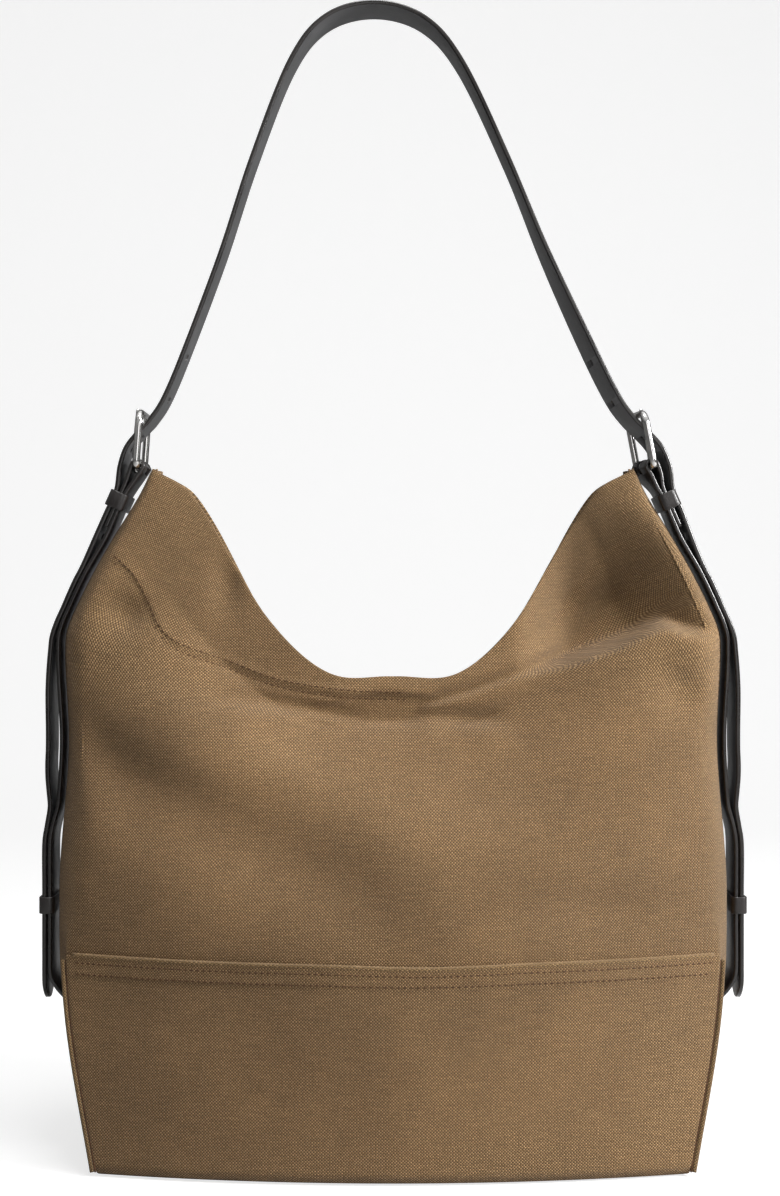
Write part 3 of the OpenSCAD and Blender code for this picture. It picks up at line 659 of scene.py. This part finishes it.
def smoothed_rows(points):
    """Each row of x and y smoothed along itself, mirrored in y past both ends, to round the side seams."""
    reach = int(3 * SIDE_BLUR)
    mirror = np.array([1, -1, 1])
    wide = np.concatenate([points[:, reach:0:-1] * mirror, points, points[:, -2:-2 - reach:-1] * mirror], 1)
    k = np.exp(-0.5 * (np.arange(-reach, reach + 1) / SIDE_BLUR) ** 2)
    k /= k.sum()
    out = points.copy()
    for axis in (0, 1):
        out[..., axis] = np.stack([np.convolve(row, k, "valid") for row in wide[..., axis]])
    return out


def shell(mid_z):
    """Half of the upper canvas, from one gusset's middle round the front to the other's."""
    v = np.linspace(-0.04, 1, ROWS)[:, None]
    z_side = BAND_H + (PEAK_Z - BAND_H) * v
    w = np.linspace(0, 1, SIDE_COLS, endpoint=False)[None, :]
    right = gusset_point(-w, z_side + 0 * w, side_x(z_side))
    u = np.linspace(-1, 1, FRONT_COLS)[None, :]
    front = front_point(u + 0 * v, v + 0 * u, mid_z)
    left = right * np.array([-1, 1, 1])
    points = np.concatenate([left, front, right[:, ::-1]], 1)
    share = (ease(0, 0.08, v) * (1 - 0.6 * ease(0.93, 1, v)))[:, :, None]
    return blunt_peak(points * (1 - share) + smoothed_rows(points) * share)


def blunt_peak(points):
    """Draws the outer side of each peak out towards its buckle, so that the peak ends blunt."""
    x, z = points[..., 0], points[..., 2]
    out = points.copy()
    share = ease(345, PEAK_Z - 1, z) * ease(0.82, 0.99, np.abs(x) / side_x(z))
    out[..., 0] += np.sign(x) * PEAK_DRAW * share
    return out


def bend_with_mouth(obj):
    """Bakes a piece's placement into its mesh and reads its points back."""
    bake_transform(obj)
    co = np.zeros(len(obj.data.vertices) * 3, np.float32)
    obj.data.vertices.foreach_get("co", co)


def relieved(points, folds):
    """Moves the shell's front out along Y by the folds, fading out round the side seams."""
    out = points.copy()
    column = np.arange(points.shape[1])
    right = SIDE_COLS + FRONT_COLS
    fade = ease(SIDE_COLS - 6, SIDE_COLS + 5, column) * (1 - ease(right - 6, right + 5, column))
    out[..., 1] -= folds(points[..., 0], points[..., 2]) * fade[None, :]
    return out


def settle(points):
    """Cloth simulation: the sheet sags a little under its own weight, held at its edges and seams."""
    rows, cols, _ = points.shape
    obj = add_object("settling_sheet", points.reshape(-1, 3), grid_faces(rows, cols))
    hold = obj.vertex_groups.new(name="hold")
    j, i = np.divmod(np.arange(rows * cols), cols)
    edge = np.minimum.reduce([j, rows - 1 - j, i, cols - 1 - i])
    grip = np.round(0.86 + 0.14 * (1 - ease(0, 5, edge)), 3)
    for level in np.unique(grip):
        hold.add(np.nonzero(grip == level)[0].tolist(), float(level), "REPLACE")
    cloth = obj.modifiers.new("cloth", "CLOTH")
    for key, value in {
            "quality": 4, "mass": 0.35, "tension_stiffness": 20, "bending_stiffness": 3,
            "vertex_group_mass": "hold", "pin_stiffness": 0.35}.items():
        setattr(cloth.settings, key, value)
    cloth.collision_settings.use_self_collision = False
    cloth.point_cache.frame_end = CLOTH_FRAMES
    scene = bpy.context.scene
    for moment in range(1, CLOTH_FRAMES + 1):
        scene.frame_set(moment)
    done = obj.evaluated_get(bpy.context.evaluated_depsgraph_get()).to_mesh()
    co = np.zeros(rows * cols * 3, np.float32)
    done.vertices.foreach_get("co", co)
    bpy.data.objects.remove(obj)
    scene.frame_set(1)
    moved = co.reshape(rows, cols, 3) / MM - points
    size = np.linalg.norm(moved, axis=2, keepdims=True)
    return points + moved * np.minimum(1, CLOTH_REACH / np.maximum(size, 1e-6))


def canvas(side, mid_z, folds):
    """Front or back canvas, from the band to the mouth edge; returns its grid as seen from its side."""
    keep = round(SIDE_COLS * SEAM_W)
    points = relieved(shell(mid_z), folds)[:, keep:-keep]
    points = settle(points)
    placed = turned(points) if side == "back" else points
    obj = sheet_object(side + "_canvas", placed, CANVAS, CANVAS_T)
    attach(obj, "canvas", None, side + "_panel", side + "_mouth_panel")
    bend_with_mouth(obj)
    return points


front_points = canvas("front", MOUTH_Z, front_folds)
back_points = canvas("back", BACK_MOUTH_Z, back_folds)


def gussets():
    half = shell(MOUTH_Z)[:, -SIDE_COLS - 1:]
    upper = np.concatenate([half, (half * np.array([1, -1, 1]))[:, -2::-1]], 1)
    w = np.linspace(-1, 1, upper.shape[1])[None, :]
    z = np.linspace(FOOT_Z, BAND_H - 12, 40)[:, None]
    lower = gusset_point(w, z + 0 * w, gusset_middle(z))
    points = np.concatenate([lower, upper[upper[:, 0, 2] > BAND_H - 10]], 0)
    under = 0.4 + 1.6 * ease(SEAM_W - 0.12, SEAM_W + 0.02, np.abs(w))
    points[..., 0] -= under * ease(BAND_H - 10, BAND_H + 4, points[..., 2])
    mirrored_sheets(points, "side_gusset", "gusset")


def bands():
    u = np.linspace(-1, 1, 160)[None, :]
    z = np.linspace(SHEET_FOOT, BAND_H, 60)[:, None]
    points = band_point(u, z + 0 * u)
    slack = 0.5 * np.sin(points[..., 0] / 23 + z / 41) * np.sin(z / 37)
    hem = 0.5 * ease(BAND_H - 12, BAND_H - 9.5, z)
    corner = 5.0 * (1 - ease(0, EDGE_CURL, z)) ** 3
    points[..., 1] += corner - hem - slack * (1 - np.abs(u) ** 6)
    points[..., 2] -= 1.2 * ease(0.35, 0, np.abs(u - 0.1)) * ease(BAND_H - 30, BAND_H, z)
    for side, turn in (("front", 1), ("back", -1)):
        placed = points * np.array([turn, turn, 1])
        obj = sheet_object(side + "_lower_band", placed, CANVAS, CANVAS_T)
        attach(obj, "canvas", "bag_body", side + "_band")
        lip = placed[-1] + np.array([0, 0.75 * turn, 0.1])
        roll = tube(side + "_band_fold", resample(lip[2:-2], 3), 1.15, HEM, 12)
        attach(roll, "canvas", "bag_body")
    return points


def gusset_bases():
    w = np.linspace(-1, 1, 40)[None, :]
    z = np.linspace(SHEET_FOOT, BASE_TOP, 44)[:, None]
    points = gusset_point(w, z + 0 * w, side_x(z), LAP)
    points[..., 0] -= 4.5 * (1 - ease(0, EDGE_CURL, z)) ** 3
    mirrored_sheets(points, "gusset_foot", "gusset_base")


def corner_cords():
    """Corded seams at the four lower corners, each with the dark thread line beside it."""
    z = np.linspace(FOOT_Z + 0.5, BAND_H - 3, 60)
    corners = (("front_right", 1, -1), ("front_left", -1, -1), ("back_right", 1, 1), ("back_left", -1, 1))
    for name, sx, sy in corners:
        line = np.stack([sx * (seam_x(z) + 1.4), sy * (seam_y(z) + 1.0), z], -1)
        cord = tube(name + "_cord", line, 1.35, CORD, 12)
        attach(cord, "piping", "bag_body", *(["corner_piping"] if name == "front_right" else []))
        gutter = tube(name + "_seam_thread", line + np.array([-sx * 1.75, sy * 0.5, 0]), 0.5, THREAD, 8)
        attach(gutter, None, "bag_body")


def base():
    u = np.linspace(-1, 1, 80)
    front = band_point(u, 0 * u)
    w = np.linspace(-1, 1, 24)[1:-1]
    side = gusset_point(w, 0 * w, side_x(0), LAP)
    half = np.concatenate([front, side])
    outline = np.concatenate([half, -half * np.array([1, 1, -1])])
    rings = []
    for inset, z in ((60, 0.5), (14, 0.2), (9, 0.0), (6.6, 0.35), (5.6, 1.3), (6.4, 2.1), (60, 2.1)):
        scale = np.array([1 - inset / BASE_X, 1 - inset / BASE_Y * 0.8, 0])
        ring = outline * scale
        ring[:, 2] = z
        rings.append(ring)
    flat = np.concatenate(rings)
    obj = add_object("base_panel", flat, bar_faces(len(rings), len(outline)), flat[:, :2], [CANVAS])
    attach(obj, "canvas", "bag_body", "bottom_panel")


def surface_run(points, line):
    """A line of [x, z] points laid on a grid's surface as seen from the front: points and normals."""
    tree = BVHTree.FromPolygons(points.reshape(-1, 3).tolist(), grid_faces(*points.shape[:2]).tolist())
    found, normals = [], []
    for x, z in resample(np.asarray(line, float), 1.5):
        hit, normal, _, _ = tree.ray_cast(Vector((x, -300, z)), Vector((0, 1, 0)))
        if hit is not None:
            found.append(list(hit))
            normals.append(list(normal if normal.y < 0 else -normal))
    return np.array(found), np.array(normals)


def canvas_stitches(band_points):
    """Two rows along the band's hem, and two where the facing is sewn to the mouth, front and back."""
    rows = []
    for drop in (3.2, 9.6):
        k = int(np.argmin(np.abs(band_points[:, 0, 2] - (BAND_H - drop))))
        rows.append((band_points[k, 2:-2], outward(band_points)[k, 2:-2]))
    seam = curve_points(FACING_SEAM, 2)
    seam = seam[seam[:, 0] < 10]
    front_runs = [surface_run(front_points, seam + np.array([0, rise])) for rise in (0, 4.2)]
    u = np.linspace(-0.72, 0.72, 90)
    back_runs = [surface_run(back_points, front_point(u, np.full_like(u, v), BACK_MOUTH_Z)[:, [0, 2]])
                 for v in (FACING_FOOT + 0.03, FACING_FOOT + 0.055)]
    for side, turn, mid_z, runs in (("front", 1, MOUTH_Z, front_runs), ("back", -1, BACK_MOUTH_Z, back_runs)):
        placing = np.array([turn, turn, 1])
        obj = stitch_rows(side + "_band_stitches", [(p * placing, n * placing) for p, n in rows])
        attach(obj, None, "bag_body")
        placed = [(p * placing, n * placing) for p, n in runs]
        obj = stitch_rows(side + "_facing_stitches", placed, radius=0.3)
        bend_with_mouth(obj)


gussets()
band_points = bands()
gusset_bases()
corner_cords()
base()
canvas_stitches(band_points)


# Lining and pockets

LINING_GAP = 5  # room between the lining and the seams
LINING_BELLY = 54  # half-depth of the lining in the middle


def pushed_in(folds, x, z):
    """How far the canvas folds push what lies behind them inwards."""
    return np.maximum(0, -folds(x, z))


def lining_point(angle, z, inset):
    """Closed loop round the lining: angle 0 to 1 is the front from left to right, 1 to 2 the back."""
    u = np.where(angle < 1, 2 * angle - 1, 3 - 2 * angle)
    x = (seam_x(z) - LINING_GAP - inset) * u
    edge = seam_y(z) - LINING_GAP - inset
    y = edge + (LINING_BELLY - inset - edge) * (1 - u ** 4)
    return np.stack([x, np.where(angle < 1, -y, y), z + 0 * u], -1)


def lining():
    a = np.linspace(0, 2, 240, endpoint=False)[None, :]
    z = np.linspace(LINING_FOOT, LINING_TOP, 60)[:, None]
    inset = 0.2 + 3 * (1 - ease(0, 14, z - LINING_FOOT)) ** 2
    points = lining_point(a + 0 * z, z + 0 * a, inset)
    x, y = points[..., 0], points[..., 1]
    wrinkle = 0.8 * np.sin(z / 19 + 2 * np.sin(x / 47)) * np.sin(x / 29)
    y -= np.sign(y) * (0.8 + wrinkle) * ease(0, 20, z - LINING_FOOT)
    y += np.where(y < 0, pushed_in(front_folds, x, z + 0 * x), -pushed_in(back_folds, -x, z + 0 * x))
    flat = points.reshape(-1, 3)
    faces = bar_faces(*points.shape[:2])[:-1]
    obj = add_object("lining_bucket", flat, faces, flat[:, [0, 2]] + flat[:, [1, 1]] * 0.3, [TWILL])
    thicken(obj, LINING_T)
    attach(obj, "lining_cloth", "bag_body", "lining")


def inner_mouth(side, mid_z, folds):
    """Canvas facing under the mouth edge, and the top of the lining that hangs from it."""
    low_u = np.linspace(-FACING_SPAN, FACING_SPAN, 120)
    u = low_u[None, :]
    v = np.linspace(FACING_FOOT, 0.993, 26)[:, None]
    facing = blunt_peak(front_point(u + 0 * v, v + 0 * u, mid_z))
    facing[..., 1] += 2.9 + 2.2 * ease(0.55, 0.75, np.abs(u)) - folds(facing[..., 0], facing[..., 2])
    start = lining_point((low_u + 1) / 2, np.full_like(low_u, LINING_TOP - 6), 2.2)
    share = np.linspace(0, 1, 24)[:, None]
    curtain = start * (1 - share[..., None]) + (facing[3] + np.array([0, 1.5, 0])) * share[..., None]
    curtain[..., 1] += 5 * np.sin(share * math.pi) * (1 - np.abs(u) ** 4)
    drawn_in = pushed_in(folds, curtain[..., 0], curtain[..., 2]) + 2
    off_corner = 6 * ease(0.5, FACING_SPAN, np.abs(u)) * ease(0, 0.3, share)
    curtain[..., 1] += (drawn_in + off_corner) * (1 - ease(0.85, 1, share) * 0.6)
    for part, points, material, thickness, slot, nodes in (
            ("_mouth_facing", facing, CANVAS, 1.0, "facing_canvas", [side + "_facing"]),
            ("_lining_top", curtain, TWILL, LINING_T, "lining_cloth", [])):
        placed = turned(points) if side == "back" else points
        obj = sheet_object(side + part, placed, material, thickness, levels=0)
        attach(obj, slot, None, *nodes)
        bend_with_mouth(obj)


def pocket(name, node, y_side):
    """Flat patch pocket that follows its CAD solid, with a turned hem along its top."""
    lo, hi = low(node), high(node)
    x = np.linspace(lo[0], hi[0], 60)[None, :]
    z = np.linspace(lo[2], hi[2], 44)[:, None]
    face = lo[1] if y_side > 0 else hi[1]
    share = (z - lo[2]) / (hi[2] - lo[2])
    swell = 1.2 * np.sin(math.pi * (x - lo[0]) / (hi[0] - lo[0])) * np.sin(math.pi * share)
    hem = 0.5 * ease(hi[2] - 12, hi[2] - 10, z)
    y = face - y_side * (swell + hem)
    obj = sheet_object(name, np.stack([x + 0 * z, y, z + 0 * x], -1), TWILL, 0.8, flip=y_side < 0)
    attach(obj, "lining_cloth", "bag_body", node)


lining()
inner_mouth("front", MOUTH_Z, front_folds)
inner_mouth("back", BACK_MOUTH_Z, back_folds)
pocket("front_slip_pocket", "slip_pocket", -1)
pocket("back_zip_pocket", "zip_pocket_bag", 1)


# Leather

KEEPER_TILT = math.radians(24)  # the upper keepers' lean, with the straps they hold
KEEPER_DIR = np.array([math.sin(KEEPER_TILT), -math.cos(KEEPER_TILT)])
KEEPER_OUT = np.array([math.cos(KEEPER_TILT), math.sin(KEEPER_TILT)])
KEEPER_MID = np.array([BAR_X + 11.5, BAR_Z - 19.2])
KEEPER_ROOM = 0.25
KEEPER_T = 1.4
KEEPER_H = 9.5
KEEPER_INSIDE = STRAP_T + 2 * CHAPE_T + 4 * KEEPER_ROOM
SIDE_OFF = -KEEPER_INSIDE / 2 + KEEPER_ROOM + CHAPE_T / 2
FOLD_OFF = SIDE_OFF + CHAPE_T
TAIL_OFF = KEEPER_INSIDE / 2 - KEEPER_ROOM - STRAP_T / 2
ARCH_R = 52  # radius of the shoulder strap's arch
ARCH_LEAN = 11  # how far the arch leans to the left
RIGHT_YAW = 8  # degrees that the right buckle is turned out of line
TAIL_END_Z = low("right_strap_tail")[2]
TAIL_FOOT_Z = 107  # height below which the tail hangs straight
LOWER_RUN_X = side_x(150) + 0.3 + KEEPER_T + KEEPER_ROOM + CHAPE_T / 2
HALF_STRAP = [
    *arc(0, APEX_Z - ARCH_R, ARCH_R, (90, 58, 22)),
    [72, APEX_Z - 87], [92, APEX_Z - 141], [114.5, BAR_Z + 66], [BAR_X - 17, BAR_Z + 39],
    [BAR_X - 8.6, BAR_Z + 26.6], [BAR_X - 2.5, BAR_Z + 20.3], [BAR_X + 5.4, BAR_Z + 11],
    [BAR_X + 9.7, BAR_Z]]


def along_keeper(off, d):
    return list(KEEPER_MID + KEEPER_OUT * off + KEEPER_DIR * d)


def side_strap_x(z):
    """How far out the side strap's middle lies: close along the gusset, and straight by the lower keeper."""
    room = 0.5 - 0.2 * ease(BASE_TOP, BASE_TOP + 10, z)
    hug = gusset_middle(z) + CHAPE_T / 2 + room
    straight = 1 - ease(34, 58, abs(z - LOWER_KEEPER_Z))
    return float(hug * (1 - straight) + LOWER_RUN_X * straight)


def tail_x(z):
    """The same for the hanging tail, which stands off the side strap between its keepers."""
    gap = (STRAP_T + CHAPE_T) / 2 + KEEPER_ROOM + 0.4
    off = 2 * ease(184, 220, z) * (1 - ease(235, 290, z)) + 2.6 * ease(182, 222, z) * (1 - ease(255, 310, z))
    return side_strap_x(z) + gap + float(off + 1.2 * ease(300, 330, z))


STRAP_ZS = list(range(332, 195, -8)) + [186, 175, 150, 128, TAIL_FOOT_Z]


def half_line(sign):
    """Right or left half of the shoulder strap: from the arch through the buckle and keepers to its tip."""
    leaned = [[sign * x - ARCH_LEAN * max(0, z - BAR_Z) / (APEX_Z - BAR_Z), z] for x, z in HALF_STRAP]
    tail = [along_keeper(TAIL_OFF, d) for d in (-5, 8, 22)]
    tail += [[tail_x(z), z] for z in STRAP_ZS]
    tail += [[tail_x(TAIL_FOOT_Z), z] for z in (TAIL_FOOT_Z - 10, TAIL_END_Z)]
    return leaned + [[sign * x, z] for x, z in tail]


def to_frame(line):
    return np.stack([line[:, 0], 0 * line[:, 0], line[:, 1]], -1)


def crosswise(turn):
    """Width direction at each point of a strap, turned about Z by the given angles."""
    return np.stack([-np.sin(turn), np.cos(turn), 0 * turn], -1)


def bend_with_handle(obj):
    """Bakes a leather piece's placement into its mesh."""
    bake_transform(obj)


def hole_cutter(at, ahead, radius, length=0.0):
    """Bar to cut a round hole, or a slot of the given length along the strap, through a strap's face."""
    ahead = np.array([ahead[0], 0, ahead[2]]) / math.hypot(ahead[0], ahead[2])
    out = np.cross(ahead, [0, 1, 0])
    sides = 24
    angle = np.linspace(0, 2 * math.pi, sides, endpoint=False)
    c, s = np.cos(angle)[:, None], np.sin(angle)[:, None]
    ring = at + ahead * (c * radius + np.sign(np.round(c, 6)) * length / 2) + np.array([0, 1, 0]) * s * radius
    return add_object("cutter", np.concatenate([ring - out * 6, ring + out * 6]), bar_faces(2, sides))


def walk(line, start, distance):
    """Index of the line's point that lies `distance` past index start (negative walks back)."""
    length = run_length(line)
    return int(np.argmin(np.abs(length - length[start] - distance)))


PRONG_SLOT = (2.1, 8.3)  # radius and straight length of the prongs' slots
HOLE_R = 2.0
HOLES = (-31, -56.4, 58, 83.4)  # adjustment holes, from the slot down the tail (-) or up


def shoulder_strap():
    line = to_frame(curve_points(half_line(-1)[::-1] + half_line(1)[1:], 2.0))
    x, z = line[:, 0], line[:, 2]
    twist = np.radians(RIGHT_YAW) * np.where(x > 0, ease(560, 440, z) * ease(335, 375, z), 0)
    length = run_length(line)
    from_tip = np.minimum(length, length[-1] - length)
    round_tip = np.sqrt(np.clip(1 - (1 - np.clip(from_tip / 11, 0, 1)) ** 2, 0.06, 1))
    taper = round_tip * 0.75 + 0.25 * ease(0, 13, from_tip)
    profile = rounded_profile(STRAP_W, STRAP_T, 0.85)
    materials = [LEATHER, LEATHER_BACK, EDGE_PAINT]
    strap = strap_object("shoulder_strap", line, crosswise(twist), profile, materials, taper)
    cutters = []
    ahead = np.gradient(line, axis=0)
    for sign in (1, -1):
        hole = int(np.argmin(np.where(x * sign > 0, np.abs(z - (BAR_Z + 15)), 1e9)))
        cutters.append(hole_cutter(line[hole] + np.array([sign, 0, 0]), ahead[hole], *PRONG_SLOT))
        for distance in HOLES:
            k = walk(line, hole, sign * distance)
            cutters.append(hole_cutter(line[k], ahead[k], HOLE_R))
    cut(strap, cutters)
    attach(strap, "leather", None, "handle_strap", "left_strap_tail", "right_strap_tail")
    bend_with_handle(strap)


def side_strap(side, sign, yaw):
    """Side strap with its end folded round the buckle's bar and sewn down on itself."""
    run = [[side_strap_x(z), z] for z in (BASE_TOP - 12, BASE_TOP + 2, 94, 100)]
    run += [[side_strap_x(z) + float(0.8 * ease(300, 330, z)), z] for z in STRAP_ZS[::-1]]
    run += [along_keeper(SIDE_OFF, d) for d in (22, 8, -4)]
    run += arc(BAR_X, BAR_Z, 2.08 + CHAPE_T / 2, range(204, 23, -30))
    run += [along_keeper(FOLD_OFF, d) for d in (-11, -3, 8, 16)]
    line = to_frame(curve_points(run, 1.5)) * np.array([sign, 1, 1])
    across = crosswise(np.radians(yaw) * ease(BAR_Z - 14, BAR_Z - 4, line[:, 2])) * sign
    strap = strap_object(side + "_carrier_strap", line, across, rounded_profile(STRAP_W, CHAPE_T, 0.7),
                         [LEATHER, LEATHER, EDGE_PAINT])
    cut(strap, [tube("cutter", [[sign * BAR_X, y, BAR_Z] for y in (-2.6, 2.6)], 4.6, LEATHER, 24)])
    attach(strap, "leather", None, side + "_side_strap", side + "_buckle_loop")
    bend_with_handle(strap)


def keeper_ring(name, center, tilt, inside):
    """Leather keeper: a rounded band round the straps, with its own axis tilted in the XZ plane."""
    outline = rounded_profile(STRAP_W + 2 * KEEPER_ROOM + KEEPER_T, inside + KEEPER_T, 2.0)
    outline = resample(np.vstack([outline, outline[:1]]), 1.2)[:-1]
    ahead = unit(np.roll(outline, -1, 0) - np.roll(outline, 1, 0))
    normal = np.stack([ahead[:, 1], -ahead[:, 0]], -1)
    section = rounded_profile(KEEPER_H, KEEPER_T, 0.45)
    axis = np.array([-math.sin(tilt), 0, math.cos(tilt)])
    out = np.array([math.cos(tilt), 0, math.sin(tilt)])
    points = [center + axis * h + np.array([0, 1, 0]) * (p[0] + n[0] * t) + out * (p[1] + n[1] * t)
              for p, n in zip(outline, normal) for h, t in section]
    faces = grid_faces(len(outline), len(section), wrap=True, ring=True)
    uv = [[along * 1.2, h] for along in range(len(outline)) for h in section[:, 0]]
    return add_object(name, points, faces, uv, [LEATHER])


def keepers():
    for side, sign in (("right", 1), ("left", -1)):
        lower = side + "_lower_keeper"
        lower_inside = high(lower)[0] - low(lower)[0] - 2 * KEEPER_T
        for kind, tilt, inside in (("upper", sign * KEEPER_TILT, KEEPER_INSIDE), ("lower", 0, lower_inside)):
            node = f"{side}_{kind}_keeper"
            ring = keeper_ring(f"{side}_{kind}_loop", middle(node), tilt, inside)
            attach(ring, "leather", node, node)


shoulder_strap()
side_strap("right", 1, RIGHT_YAW)
side_strap("left", -1, 0)
keepers()


# Buckles

WIRE_R = 2
FRAME_H = 30
FRAME_Y = STRAP_W / 2 + 1.2 + WIRE_R
TOP_R = 6  # corner radii of the wire, away from the bar and at it
BAR_R = 2.6
LEANS = {"right": (11, RIGHT_YAW), "left": (4, 0)}  # lean outwards and turn, in degrees


def at_bar(points, side):
    """Points of a buckle's own frame (bar along Y, frame up Z, outboard face +X), placed on the bag."""
    lean, yaw = (math.radians(a) for a in LEANS[side])
    x = points[:, 0] * math.cos(lean) - points[:, 2] * math.sin(lean)
    z = points[:, 0] * math.sin(lean) + points[:, 2] * math.cos(lean)
    y = points[:, 1]
    placed = np.stack([x * math.cos(yaw) - y * math.sin(yaw) + BAR_X,
                       x * math.sin(yaw) + y * math.cos(yaw), z + BAR_Z], -1)
    return placed if side == "right" else placed * np.array([-1, 1, 1])


def buckles():
    corners = []
    for z, r, starts in ((FRAME_H - TOP_R, TOP_R, (0, 90)), (BAR_R, BAR_R, (180, 270))):
        for start in starts:
            y = (FRAME_Y - r) * (1 if start in (0, 270) else -1)
            corners += arc(y, z, r, range(start, start + 91, 15))
    outline = resample(np.array([[0, y, z] for y, z in corners + corners[:1]]), 1.0)[:-1]
    z = np.linspace(0, FRAME_H + 3.6, 40)
    bow = 0.3 * z / FRAME_H + 0.5 * np.sin(math.pi * np.clip(z / FRAME_H, 0, 1))
    shaft = np.stack([WIRE_R + 1.2 + bow, 0 * z, z], -1)
    thick = 1.4 * np.sqrt(np.clip((FRAME_H + 3.9 - z) / 1.9, 0.02, 1)) * (0.86 + 0.14 * ease(22, 4, z))
    hook = [[x, 0, z] for x, z in arc(0, 0, WIRE_R + 1.1, range(-300, -15, 15))]
    radius = np.concatenate([np.full(len(hook) - 3, 0.95), [1.0, 1.1, 1.25], thick])
    for side in ("right", "left"):
        wire = tube(side + "_frame_wire", at_bar(outline, side), WIRE_R, NICKEL, 20, closed=True)
        attach(wire, "buckle_metal", side + "_buckle", side + "_buckle_frame")
        prong = tube(side + "_prong_bar", at_bar(np.vstack([hook, shaft]), side), radius, NICKEL)
        attach(prong, "buckle_metal", side + "_prong", side + "_buckle_prong")


buckles()


# CAD nodes that stay

KEPT = {
    BOARD: ["base_board"], TAPE: ["zip_tape"],
    BRUSHED: ["zip_teeth", "zip_slider", "zip_pull", "snap_stud", "snap_socket", "snap_stud_washer",
              "snap_socket_washer"]}
for kept_material, kept_nodes in KEPT.items():
    for node_name in kept_nodes:
        kept_mesh = frame["nodes"][node_name].data
        kept_mesh.materials.clear()
        kept_mesh.materials.append(kept_material)


# Stage

SWEEP_FRONT = -3000  # white paper: flat from here, then turned up behind the bag
SWEEP_Y = 1500
SWEEP_R = 900
SWEEP_TOP = 4000
SWEEP_HALF = 6000


def paper_sweep():
    paper = Nodes("white_paper")
    paper.bump(paper.noise(paper.place(), 600.0, 2), 0.02)
    seen = paper.node("ShaderNodeLightPath", out="Is Camera Ray")
    paper.finish(Base_Color=(0.5, 0.5, 0.5, 1), Roughness=0.9, Emission_Color=(1, 1, 1, 1),
                 Emission_Strength=paper.math("MULTIPLY", seen, 0.72))
    curve = [[SWEEP_FRONT, 0], [-800, 0], [0, 0], [800, 0], [SWEEP_Y, 0]]
    curve += arc(SWEEP_Y, SWEEP_R, SWEEP_R, range(-80, 1, 10))
    curve += [[SWEEP_Y + SWEEP_R, 2500], [SWEEP_Y + SWEEP_R, SWEEP_TOP]]
    points = [[x, y, z] for y, z in curve for x in (-SWEEP_HALF, SWEEP_HALF)]
    add_object("paper_sweep", points, grid_faces(len(curve), 2), None, [paper.owner])


def light(name, place, aim_z, size, power):
    """Rectangular lamp turned towards the bag's middle at height aim_z."""
    data = bpy.data.lights.new(name, "AREA")
    data.shape = "RECTANGLE"
    data.size, data.size_y = size[0] * MM, size[1] * MM
    data.energy = power
    lamp = bpy.data.objects.new(name, data)
    lamp.location = Vector(place) * MM
    lamp.rotation_euler = (Vector((0, 0, aim_z)) - Vector(place)).to_track_quat("-Z", "Y").to_euler()
    bpy.context.scene.collection.objects.link(lamp)


def sky():
    """White to the camera, brighter overhead than below, and dimmer as a light on matt surfaces."""
    white = (1, 1, 1, 1)
    n = Nodes("studio", world=True)
    turn = n.node("ShaderNodeMapping", Vector=n.node("ShaderNodeTexCoord", out="Generated"),
                  Rotation=(0, math.radians(90), 0))
    height = n.node("ShaderNodeTexGradient", out="Fac", Vector=turn)
    shade = n.mix(height, (0.10, 0.10, 0.10, 1), white)
    color = n.mix(n.node("ShaderNodeLightPath", out="Is Camera Ray"), shade, white)
    dimmed = n.math("MULTIPLY", n.node("ShaderNodeLightPath", out="Is Diffuse Ray"), 0.78)
    bpy.context.scene.world = n.finish(Color=color, Strength=n.math("SUBTRACT", 1.0, dimmed))


def camera():
    data = bpy.data.cameras.new("camera")
    data.lens = 58.1
    data.sensor_width = 36
    obj = bpy.data.objects.new("camera", data)
    obj.location = Vector((-1.7, -1100, 313.7)) * MM
    obj.rotation_euler = (math.radians(90), 0, 0)
    bpy.context.scene.collection.objects.link(obj)
    bpy.context.scene.camera = obj


paper_sweep()
light("key", (1150, -560, 760), 240, (360, 360), 28)
light("top", (60, -330, 1500), 250, (500, 400), 10)
light("front", (250, -1500, 500), 230, (700, 700), 2.5)
sky()
bpy.context.scene.view_settings.view_transform = "Standard"
camera()
bpy.context.view_layer.update()
